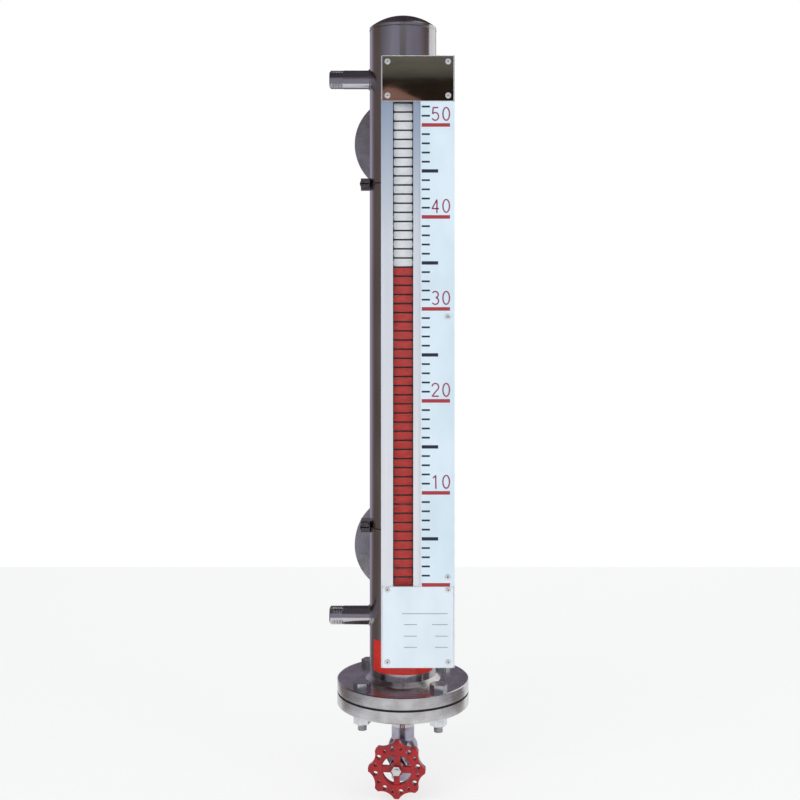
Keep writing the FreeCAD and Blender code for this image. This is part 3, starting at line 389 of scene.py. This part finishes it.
NODE_MATERIALS = {
    STEEL: ("jacket_tube", "jacket_cap", "chamber_tube", "chamber_top_plug", "drain_pipe"),
    NIPPLE_STEEL: ("lower_jacket_nipple", "upper_jacket_nipple"),
    NOZZLE_STEEL: ("lower_nozzle", "upper_nozzle"),
    BODY_FLANGE: ("chamber_flange", "drain_flange"),
    LOWER_FLANGE: ("lower_process_flange",),
    UPPER_FLANGE: ("upper_process_flange",),
    ZINC: ("flange_nuts", "flange_washers", "cap_screws", "saddle_screws"),
    BOLTS: ("flange_bolts",),
    BRASS: ("valve_body", "valve_bonnet", "gland_nut", "valve_gate"),
    BRIGHT: ("valve_stem", "handwheel_nut"),
    ALUMINIUM: (
        "indicator_channel", "channel_cap_top", "channel_cap_bottom", "lower_saddle", "upper_saddle",
    ),
    SCALE_GROUND: ("scale_plate",),
    NAME_GROUND: ("name_plate",),
    MIRROR: ("top_plate",),
    ENAMEL: ("handwheel",),
    FLAP_MATERIAL: ("flap_rack",) + tuple(f"flap_{index:02d}" for index in TURNING_FLAPS),
    GLASS: ("window_glass",),
    RUBBER: ("flange_gasket",),
    GRAPHITE: ("gland_packing",),
    FERRITE: ("float_magnet",),
    SHEET_STEEL: ("float_shell",),
    RED_FILM: ("tube_label",),
    RIVET: ("plate_rivets",),
    CLAMP: (
        "lower_clamp_band", "upper_clamp_band", "lower_clamp_housing", "upper_clamp_housing", "clamp_screws",
    ),
    SPRING: ("lower_buffer_spring", "upper_buffer_spring"),
}


def dress_nodes():
    """Gives every CAD node the material of its finish."""
    for material, names in NODE_MATERIALS.items():
        for name in names:
            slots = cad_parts[name].material_slots
            if not slots:
                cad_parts[name].data.materials.append(material)
            for slot in slots:
                slot.material = material


# Shapes

def make_piece(name, points, faces, material, body="gauge"):
    """Closed mesh object from points in millimetres, with outward faces and crisp edges."""
    mesh = bpy.data.meshes.new(name)
    mesh.from_pydata((np.asarray(points) * MM).tolist(), [], [list(face) for face in faces])
    editable = bmesh.new()
    editable.from_mesh(mesh)
    bmesh.ops.recalc_face_normals(editable, faces=editable.faces)
    editable.to_mesh(mesh)
    editable.free()
    mesh.polygons.foreach_set("use_smooth", [True] * len(mesh.polygons))
    mesh.set_sharp_from_angle(angle=math.radians(40))
    mesh.materials.append(material)
    item = bpy.data.objects.new(name, mesh)
    bpy.context.scene.collection.objects.link(item)
    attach(item, body)
    return item


def joined(shapes):
    """One list of points and faces from several."""
    points = []
    faces = []
    for more_points, more_faces in shapes:
        start = len(points)
        points.extend(np.asarray(more_points).tolist())
        faces.extend([[start + index for index in face] for face in more_faces])
    return points, faces


def grid_faces(rows, columns, close_rows=False):
    """Quads between neighbours of a grid whose columns go all the way round."""
    row, column = np.meshgrid(np.arange(rows if close_rows else rows - 1), np.arange(columns), indexing="ij")
    next_row = (row + 1) % rows
    next_column = (column + 1) % columns
    corners = (row * columns + column, next_row * columns + column,
               next_row * columns + next_column, row * columns + next_column)
    return np.stack(corners, axis=-1).reshape(-1, 4).tolist()


def slab(left, right, bottom, top, front, back):
    """Box: the eight corners where its three spans end."""
    x, y, z = np.meshgrid((left, right), (front, back), (bottom, top), indexing="ij")
    points = np.stack((x, y, z), axis=-1).reshape(-1, 3)
    return points, [(0, 1, 3, 2), (4, 6, 7, 5), (0, 4, 5, 1), (2, 3, 7, 6), (0, 2, 6, 4), (1, 5, 7, 3)]


def ribbon(path, width, front, back):
    """Flat stroke: a path in X and Z, moved half its width to each side along its normal."""
    path = np.asarray(path, dtype=float)
    way = np.gradient(path, axis=0)
    way /= np.linalg.norm(way, axis=1)[:, None]
    side = np.stack((-way[:, 1], way[:, 0]), axis=1) * width / 2
    edges = (path + side, path - side)
    rings = [
        np.insert(edges[0], 1, front, axis=1), np.insert(edges[1], 1, front, axis=1),
        np.insert(edges[1], 1, back, axis=1), np.insert(edges[0], 1, back, axis=1),
    ]
    points = np.stack(rings, axis=1).reshape(-1, 3)
    faces = grid_faces(len(path), 4)
    last = 4 * (len(path) - 1)
    return points, faces + [(0, 1, 2, 3), (last, last + 3, last + 2, last + 1)]


def arc(centre, radii, start, end, count=20):
    """Part of an ellipse: centre plus radii times cosine and sine from one angle to another."""
    angle = np.radians(np.linspace(start, end, count))
    return np.stack((centre[0] + radii[0] * np.cos(angle), centre[1] + radii[1] * np.sin(angle)), axis=1)


def line(*corners, step=1.0):
    """Straight runs between corners, with points about a step apart."""
    runs = []
    for near, far in zip(corners[:-1], corners[1:]):
        count = max(2, int(math.dist(near, far) / step))
        runs.append(np.linspace(near, far, count, endpoint=False))
    return np.concatenate(runs + [np.array([corners[-1]], dtype=float)])


def thread(root, crest, hidden, start, length, pitch, place):
    """Screw thread: the radius goes from root to crest and back once in each pitch and each turn.

    radius = root + (crest - root) * |2 * fraction(height / pitch - angle / turn) - 1|,
    closed by rings of the hidden radius at both ends.
    """
    columns = 48
    rows = int(length / pitch * 8)
    heights = np.linspace(start, start + length, rows)
    height, turn = np.meshgrid(heights, np.arange(columns) / columns, indexing="ij")
    tooth = np.abs(2 * np.mod(height / pitch - turn, 1.0) - 1)
    fade = np.clip(np.minimum(height - start, start + length - height) / pitch, 0, 1)
    radius = root + (crest - root) * tooth * fade
    radius = np.vstack((np.full((1, columns), hidden), radius, np.full((1, columns), hidden)))
    height = np.vstack((height[:1], height, height[-1:]))
    angle = np.vstack((turn[:1], turn, turn[-1:])) * 2 * math.pi
    points = place(radius * np.cos(angle), radius * np.sin(angle), height)
    return np.stack(points, axis=-1).reshape(-1, 3), grid_faces(rows + 2, columns, close_rows=True)


def bead(reach, radius, size, ripples, place):
    """Weld bead along the rim of a pipe: a ring whose round section swells with each ripple.

    The ring's height over the angle is given by reach, so it can lie flat or follow a saddle.
    """
    columns = 8 * ripples
    rows = 12
    section, angle = np.meshgrid(
        np.arange(rows) * 2 * math.pi / rows, np.arange(columns) * 2 * math.pi / columns, indexing="ij",
    )
    thick = size * (1 + 0.05 * np.sin(ripples * angle + 0.6 * np.cos(section)))
    ring = radius + thick * np.cos(section)
    points = place(ring * np.cos(angle), ring * np.sin(angle), reach(angle) + thick * np.sin(section))
    return np.stack(points, axis=-1).reshape(-1, 3), grid_faces(rows, columns, close_rows=True)


def level(height):
    """Reach of a bead that lies flat at one height."""
    return lambda angle: 0 * angle + height


def saddle(branch):
    """Reach of a bead that follows the jacket's wall round a branch pipe of that radius."""
    return lambda angle: np.sqrt(JACKET_RADIUS ** 2 - (branch * np.cos(angle)) ** 2)


def upright(across, along, height):
    """Place of a bead or thread round the gauge's own axis."""
    return across, along + AXIS_Y, height


def rounded_plate(half_width, half_height, half_depth, corner, edge, middle):
    """Plate with rounded corners and rounded edges.

    The outline is a rectangle with quarter circles at its corners. Loops of it are drawn in by
    edge * (1 - sin) while they go back by edge * (1 - cos), then two faces close it.
    """
    quarter = np.linspace(0, math.pi / 2, 5)
    angle = np.concatenate([quarter + turn * math.pi / 2 for turn in range(4)])
    side_x = np.repeat((1, -1, -1, 1), 5)
    side_z = np.repeat((1, 1, -1, -1), 5)
    loops = []
    for depth_side in (-1, 1):
        rise = np.linspace(0, math.pi / 2, 4)
        for slope in (rise if depth_side < 0 else rise[::-1]):
            inset = edge * (1 - math.sin(slope))
            depth = depth_side * (half_depth - edge * (1 - math.cos(slope)))
            x = side_x * (half_width - corner) + (corner - inset) * np.cos(angle)
            z = side_z * (half_height - corner) + (corner - inset) * np.sin(angle)
            y = np.full_like(x, depth + middle[1])
            loops.append(np.stack((x + middle[0], y, z + middle[2]), axis=1))
    count = len(angle)
    points = np.concatenate(loops)
    faces = grid_faces(len(loops), count)
    end = (len(loops) - 1) * count
    return points, faces + [tuple(range(count)), tuple(range(end, end + count))]


# Pieces of the indicator panel

def scale_marks():
    """Printed marks every centimetre, longer at fives and tens, 0.06 mm of ink on the plate."""
    kinds = {"minor": [], "five": [], "ten": []}
    for index in range(FLAP_COUNT):
        kind = "ten" if index % 10 == 0 else "five" if index % 5 == 0 else "minor"
        kinds[kind].append(index * FLAP_PITCH)
    looks = {
        "minor": (29.1, 1.0, MARK_BLUE),
        "five": (38.1, 1.85, MARK_NAVY),
        "ten": (51.0, 1.95, MARK_RED),
    }
    for kind, heights in kinds.items():
        right, half, material = looks[kind]
        middles = [height - MARK_DROP for height in heights]
        shapes = [
            slab(MARK_LEFT, right, middle - half, middle + half, MARK_FRONT, PLATE_FRONT)
            for middle in middles
        ]
        item = make_piece(f"scale_marks_{kind}", *joined(shapes), material)


def numeral(digit):
    """Strokes of one figure, 8 mm wide and 15.2 mm tall, from lines and parts of ellipses."""
    figures = {
        "0": [arc((4.0, 7.6), (3.3, 6.95), 0, 360, 40)],
        "1": [line((1.6, 11.6), (4.4, 14.5), (4.5, 0.0))],
        "2": [np.concatenate((
            arc((4.0, 10.7), (3.3, 3.9), 170, -38), line((5.0, 6.4), (0.8, 0.7), (7.4, 0.7)),
        ))],
        "3": [np.concatenate((
            arc((3.9, 11.2), (3.0, 3.4), 150, -80), arc((3.9, 4.3), (3.4, 3.7), 80, -150),
        ))],
        "4": [line((5.6, 0.0), (5.6, 14.5), (0.7, 4.6), (7.6, 4.6))],
        "5": [np.concatenate((
            line((7.0, 14.5), (1.9, 14.5), (1.3, 8.0)), arc((3.9, 4.9), (3.4, 4.2), 135, -150),
        ))],
    }
    return figures[digit]


def scale_numerals():
    """The tens, each a pair of figures above its mark."""
    stretch = (1.08, 1.0)
    stroke_width = 1.5
    rise = 4.4
    shapes = []
    for tens in "12345":
        bottom = int(tens) * 100 + rise - MARK_DROP
        for digit, left in ((tens, 30.7), ("0", 42.5)):
            for path in numeral(digit):
                stroke = path * stretch + (left, bottom)
                shapes.append(ribbon(stroke, stroke_width, MARK_FRONT, PLATE_FRONT))
    item = make_piece("scale_numerals", *joined(shapes), NUMERAL_RED)


def name_plate_rules():
    """Thin blank lines to write on, each from left to right at a height."""
    half = 0.3
    rules = ((-1.2, 48.4, -32.0), (0.9, 15.1, -43.9), (31.4, 48.4, -43.9), (0.9, 15.1, -56.4),
             (34.7, 48.4, -56.4), (0.9, 15.1, -68.5), (34.7, 48.4, -68.5))
    shapes = [
        slab(left, right, height - half, height + half, RULE_FRONT, PLATE_FRONT)
        for left, right, height in rules
    ]
    item = make_piece("name_plate_rules", *joined(shapes), MARK_GREY)


def flap_shape(index):
    """Flap with rounded corners on its own height."""
    return rounded_plate(
        half_width=10.4, half_height=4.15, half_depth=1.5, corner=1.6, edge=0.5,
        middle=(0.0, FLAP_AXIS, index * FLAP_PITCH),
    )


def flap_pin(index):
    """Smooth pin through a flap, along X."""
    height = index * FLAP_PITCH
    return thread(
        root=0.75, crest=0.75, hidden=0.01, start=-12.5, length=25.0, pitch=1.0,
        place=lambda a, b, s: (s, b + FLAP_AXIS, a + height),
    )


def flaps():
    """Still flaps in one piece, turning ones each with its pin on its own body, rails and backing film."""
    still = [flap_shape(index) for index in range(FLAP_COUNT) if index not in TURNING_FLAPS]
    item = make_piece("still_flaps", *joined(still), FLAP_MATERIAL)
    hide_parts("flap_rack")
    rails = [slab(11.3 * side, 13.0 * side, RAIL_BOTTOM, RAIL_TOP, -213.0, -199.5) for side in (-1, 1)]
    item = make_piece("flap_rails", *joined(rails), RAIL)
    film = slab(-11.2, 11.2, RAIL_BOTTOM, RAIL_TOP, -200.0, -199.6)
    item = make_piece("flap_backing", *film, BACKING)
    for index in TURNING_FLAPS:
        shape = joined([flap_shape(index), flap_pin(index)])
        item = make_piece(f"turning_flap_{index}", *shape, FLAP_MATERIAL, f"flap_{index}")
        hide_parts(f"flap_{index:02d}")


def plate_rims():
    """Painted highlights along the edges of the top plate and the name plate: bright strips 0.7 mm wide in
    place of the light on their bevelled edges.
    """
    rim = 0.7
    sunk = 0.3
    proud = 0.02
    shapes = []
    for name in ("top_plate", "name_plate"):
        low, high = (np.array(corner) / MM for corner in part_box(name))
        back, front = low[1] + sunk, low[1] - proud
        shapes.append(slab(low[0], low[0] + rim, low[2], high[2], front, back))
        shapes.append(slab(high[0] - rim, high[0], low[2], high[2], front, back))
        shapes.append(slab(low[0], high[0], low[2], low[2] + rim, front, back))
        shapes.append(slab(low[0], high[0], high[2] - rim, high[2], front, back))
    # painted highlight: bright strips laid along the plate edges
    item = make_piece("plate_rims", *joined(shapes), RIVET)


# Pieces of the piping, the clamps and the valve

def nipple_threads():
    """Male pipe threads of 1.8 mm pitch on the two jacket nipples, and the female one in the outlet."""
    for name, height in NIPPLE_HEIGHTS.items():
        shape = thread(
            root=10.3, crest=10.6, hidden=9.7, start=68.2, length=14.6, pitch=1.8,
            place=lambda a, b, s: (-s, a + AXIS_Y, b + height),
        )
        item = make_piece(f"{name}_nipple_thread", *shape, NIPPLE_STEEL)
    shape = thread(root=9.28, crest=8.75, hidden=9.6, start=-237.6, length=12.5, pitch=1.6, place=upright)
    item = make_piece("outlet_thread", *shape, BRASS)


def welds():
    """Rippled beads where the nipples and nozzles leave the jacket, and round the flanges and the cap."""
    nipple = 10.5
    nozzle = 16.85
    shapes = []
    for height in NIPPLE_HEIGHTS.values():
        shapes.append(bead(saddle(nipple), nipple, 1.5, 26, lambda a, b, s: (-s, a + AXIS_Y, b + height)))
    for height in NOZZLE_HEIGHTS.values():
        shapes.append(bead(saddle(nozzle), nozzle, 2.4, 36, lambda a, b, s: (a, AXIS_Y + s, b + height)))
        shapes.append(bead(level(-16.0), nozzle, 2.2, 36, lambda a, b, s: (a, s, b + height)))
    shapes.append(bead(level(JACKET_TOP - 0.4), JACKET_RADIUS - 0.35, 0.8, 70, upright))
    shapes.append(bead(level(DRAIN_FLANGE_BOTTOM), 13.0, 2.2, 32, upright))
    shapes.append(bead(level(FLANGE_TOP + 0.6), JACKET_RADIUS + 2.4, 1.2, 84, upright))
    item = make_piece("weld_beads", *joined(shapes), WELD)


def clamp_details():
    """Dark slabs of painted shade where the driver slots cross the heads of the two worm screws, and the
    hoops in place of the bands.
    """
    half = 0.7
    shapes = [
        slab(-48.4, -38.6, height - half, height + half, -159.05, -158.6)
        for height in CLAMP_HEIGHTS.values()
    ]
    item = make_piece("worm_screw_slot_shade", *joined(shapes), SLOT_DARK)
    for name, height in CLAMP_HEIGHTS.items():
        hoop = bead(level(height), JACKET_RADIUS + 0.1, 0.9, 12, upright)
        item = make_piece(f"{name}_clamp_hoop", *hoop, CLAMP)
        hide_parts(f"{name}_clamp_band")


def hand_wheel():
    """The wheel's own casting with its edges rounded by 1.4 mm, as the thick paint leaves them."""
    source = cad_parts["handwheel"]
    mesh = source.data.copy()
    mesh.name = "painted_wheel"
    editable = bmesh.new()
    editable.from_mesh(mesh)
    bmesh.ops.remove_doubles(editable, verts=editable.verts, dist=0.00001)
    bmesh.ops.dissolve_limit(
        editable, angle_limit=math.radians(1), verts=editable.verts, edges=editable.edges,
    )
    editable.to_mesh(mesh)
    editable.free()
    mesh.polygons.foreach_set("use_smooth", [True] * len(mesh.polygons))
    mesh.materials.clear()
    mesh.materials.append(ENAMEL)
    item = bpy.data.objects.new("painted_wheel", mesh)
    bpy.context.scene.collection.objects.link(item)
    bevel = item.modifiers.new("paint_round", "BEVEL")
    bevel.width = 1.4 * MM
    bevel.segments = 3
    bevel.limit_method = "ANGLE"
    bevel.angle_limit = math.radians(50)
    bevel.use_clamp_overlap = True
    bevel.harden_normals = True
    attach(item, "wheel")
    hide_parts("handwheel")


# Stage, light and camera

def stage_mesh(name, corners, faces, material):
    """Mesh from corners in metres, with its material, linked to the scene."""
    mesh = bpy.data.meshes.new(name)
    mesh.from_pydata(corners, [], faces)
    mesh.materials.append(material)
    item = bpy.data.objects.new(name, mesh)
    bpy.context.scene.collection.objects.link(item)
    return item


def seen_ray(tree):
    """1 for rays from the camera, off glossy surfaces and through clear ones, else 0."""
    path = add(tree, "LightPath").outputs
    seen = add(tree, "Math", links={0: path["Is Camera Ray"], 1: path["Is Glossy Ray"]}, operation="MAXIMUM")
    links = {0: seen.outputs[0], 1: path["Is Transmission Ray"]}
    return add(tree, "Math", links=links, operation="MAXIMUM").outputs[0]


def floor_paint():
    """Matt white floor that stays white in the camera's view and keeps a faint part of the shadow."""
    material, tree, shader = new_material("matt_white_floor", Roughness=0.9)
    grain = noise(tree, stretched(tree, object_point(tree), (3.0, 3.0, 3.0)))
    tree.links.new(ramp(tree, grain, [(0.3, "#F2F2F2"), (0.7, "#F8F8F8")]), shader.inputs["Base Color"])
    share = add(tree, "Math", {1: 0.7}, {0: seen_ray(tree)}, operation="MULTIPLY").outputs[0]
    glow = add(tree, "Emission", {"Color": (1.0, 1.0, 1.0, 1.0), "Strength": 1.0}).outputs[0]
    mixed = add(tree, "MixShader", links={0: share, 1: shader.outputs[0], 2: glow}).outputs[0]
    tree.links.new(mixed, tree.nodes["Material Output"].inputs["Surface"])
    return material


def empty_material(name):
    """Material whose node tree is still empty."""
    material = bpy.data.materials.new(name)
    material.use_nodes = True
    material.node_tree.nodes.clear()
    return material, material.node_tree


def shine(tree, colour):
    """Even glow of a colour as the material's surface."""
    glow = add(tree, "Emission", {"Strength": 1.0}, {"Color": colour}).outputs[0]
    tree.links.new(glow, add(tree, "OutputMaterial").inputs["Surface"])


def card_paint(name, stops, low, high):
    """Card that glows with colours banded by height between two heights."""
    material, tree = empty_material(name)
    parts = add(tree, "SeparateXYZ", links={0: object_point(tree)}).outputs
    shine(tree, ramp(tree, spread(tree, parts["Z"], 0.0, 1.0, low, high), stops))
    return material


def hide_from_camera(item):
    """Leaves a card to reflections only."""
    item.visible_camera = False
    item.visible_diffuse = False
    item.visible_shadow = False


def stage():
    """White floor, and two small unseen cards that the polished top plate reflects."""
    square = [(0, 1, 2, 3)]
    corners = [(x, y, FLOOR_HEIGHT) for x, y in ((-1.6, -1.4), (1.6, -1.4), (1.6, 0.9), (-1.6, 0.9))]
    stage_mesh("floor", corners, square, floor_paint())
    stops = [(0.0, "#33291F"), (0.62, "#2B241F"), (0.66, "#55534C"), (0.8, "#6B6A62"), (1.0, "#74736A")]
    room = card_paint("room_in_plate", stops, 0.70, 0.84)
    corners = [(-0.3, -1.7, 0.68), (0.3, -1.7, 0.66), (0.3, -1.7, 0.9), (-0.3, -1.7, 0.92)]
    hide_from_camera(stage_mesh("plate_card", corners, square, room))
    hill = card_paint("hill_in_plate", [(0.0, "#8C6A5E"), (1.0, "#A07C70")], 0.72, 0.77)
    outline = [(-0.08, 0.70), (0.07, 0.70), (0.045, 0.737), (0.012, 0.752), (-0.012, 0.764), (-0.032, 0.767),
               (-0.05, 0.758), (-0.08, 0.75)]
    corners = [(across, -1.69, height) for across, height in outline]
    hide_from_camera(stage_mesh("hill_card", corners, [tuple(range(len(corners)))], hill))


def wall_paint():
    """Glow of a room: colours by compass direction round the gauge, dimmer high up."""
    material, tree = empty_material("studio_wall_paint")
    way = add(tree, "SeparateXYZ", links={0: object_point(tree)}).outputs
    front = add(tree, "Math", {1: -1.0}, {0: way["Y"]}, operation="MULTIPLY").outputs[0]
    angle = add(tree, "Math", links={0: way["X"], 1: front}, operation="ARCTAN2").outputs[0]
    whole_turn = {1: 1 / (2 * math.pi), 2: 0.5}
    share = add(tree, "Math", whole_turn, {0: angle}, operation="MULTIPLY_ADD").outputs[0]
    ring = ramp(tree, share, [
        (0.0, "#78707E"), (0.05, "#8A8294"), (0.1, "#B4ACC4"), (0.15, "#857C88"), (0.18, "#6A5E58"),
        (0.26, "#6A5E58"), (0.31, "#7D7882"), (0.4, "#9A9AA8"), (0.55, "#8F8C9A"), (0.66, "#85808C"),
        (0.72, "#6A5C55"), (0.77, "#6E6670"), (0.93, "#6C6474"), (1.0, "#78707E"),
    ])
    above = ramp(tree, spread(tree, way["Z"], 0.0, 1.0, 0.0, WALL_TOP), [
        (0.45, "#FFFFFF"), (0.55, "#8C8684"), (1.0, "#8C8684"),
    ])
    mixed = add(
        tree, "Mix", {"Factor": 1.0}, {"A": ring, "B": above}, data_type="RGBA", blend_type="MULTIPLY",
    )
    shine(tree, mixed.outputs["Result"])
    return material


def studio_wall():
    """Unseen dark wall bent round the gauge, open at the right behind it, with a foot and a ceiling.

    Its profile runs in over the floor to an oval hole, up at a radius of 2.2 m and in over the top:
    the hole's radius = 0.27 + 0.4 * (cosine of the angle from the front, above 0) squared.
    """
    angles = np.linspace(-1.14, 0.55, 97) * math.pi
    hole = 0.27 + 0.4 * np.clip(np.cos(angles), 0.0, 1.0) ** 2
    radii = np.stack([hole, 0 * hole + WALL_RADIUS, 0 * hole + WALL_RADIUS, 0 * hole + 0.01], axis=1)
    heights = np.broadcast_to(np.array([WALL_FOOT, WALL_FOOT, WALL_TOP, WALL_TOP]), radii.shape)
    across, along = radii * np.sin(angles)[:, None], -radii * np.cos(angles)[:, None]
    points = np.stack([across, along, heights], axis=-1).reshape(-1, 3)
    strip = np.arange(len(angles) - 1)[:, None] * 4 + np.arange(3)
    faces = np.stack([strip, strip + 4, strip + 5, strip + 1], axis=-1).reshape(-1, 4)
    item = stage_mesh("studio_wall", points.tolist(), faces.tolist(), wall_paint())
    item.visible_transmission = False
    hide_from_camera(item)


def lamp(name, place, target, size, power):
    """Square soft lamp that looks at a target."""
    light = bpy.data.lights.new(name, "AREA")
    light.shape = "SQUARE"
    light.size = size
    light.energy = power
    item = bpy.data.objects.new(name, light)
    bpy.context.scene.collection.objects.link(item)
    way = np.subtract(target, place)
    flat = math.hypot(way[0], way[1])
    item.location = place
    item.rotation_euler = (math.atan2(flat, -way[2]), 0.0, math.atan2(-way[0], way[1]))
    item.visible_glossy = False


def light_and_camera():
    """Large soft lamps, a white world and the camera at the photograph's place."""
    lamp("key", (-1.2, -1.9, 1.7), GAUGE_MIDDLE, size=1.6, power=19.0)
    lamp("fill", (1.7, -1.5, 0.7), GAUGE_MIDDLE, size=1.4, power=12.0)
    lamp("front", (0.2, -2.3, 0.5), GAUGE_MIDDLE, size=1.2, power=8.0)
    lamp("back", (0.3, 1.7, 1.5), (0.0, -0.1, 0.2), size=1.4, power=14.0)
    world = bpy.data.worlds.new("studio")
    bpy.context.scene.world = world
    world.use_nodes = True
    tree = world.node_tree
    tree.nodes.clear()
    soft = add(tree, "Background", {"Color": linear("#E9ECF0"), "Strength": 0.62}).outputs[0]
    white = add(tree, "Background", {"Color": (1.0, 1.0, 1.0, 1.0), "Strength": 1.0}).outputs[0]
    mixed = add(tree, "MixShader", links={0: seen_ray(tree), 1: soft, 2: white}).outputs[0]
    tree.links.new(mixed, add(tree, "OutputWorld").inputs["Surface"])

    view = bpy.data.cameras.new("photo_view")
    view.sensor_width = 36.0
    view.lens = 56.25
    view.shift_x = 0.0
    view.shift_y = -0.151
    camera = bpy.data.objects.new("photo_view", view)
    camera.location = (-0.0034, -1.577, 0.3317)
    camera.rotation_euler = (math.radians(90), 0.0, 0.0)
    bpy.context.scene.collection.objects.link(camera)
    bpy.context.scene.camera = camera
    bpy.context.scene.view_settings.view_transform = "Standard"


dress_nodes()
scale_marks()
scale_numerals()
name_plate_rules()
flaps()
nipple_threads()
welds()
plate_rims()
clamp_details()
hand_wheel()
stage()
studio_wall()
light_and_camera()
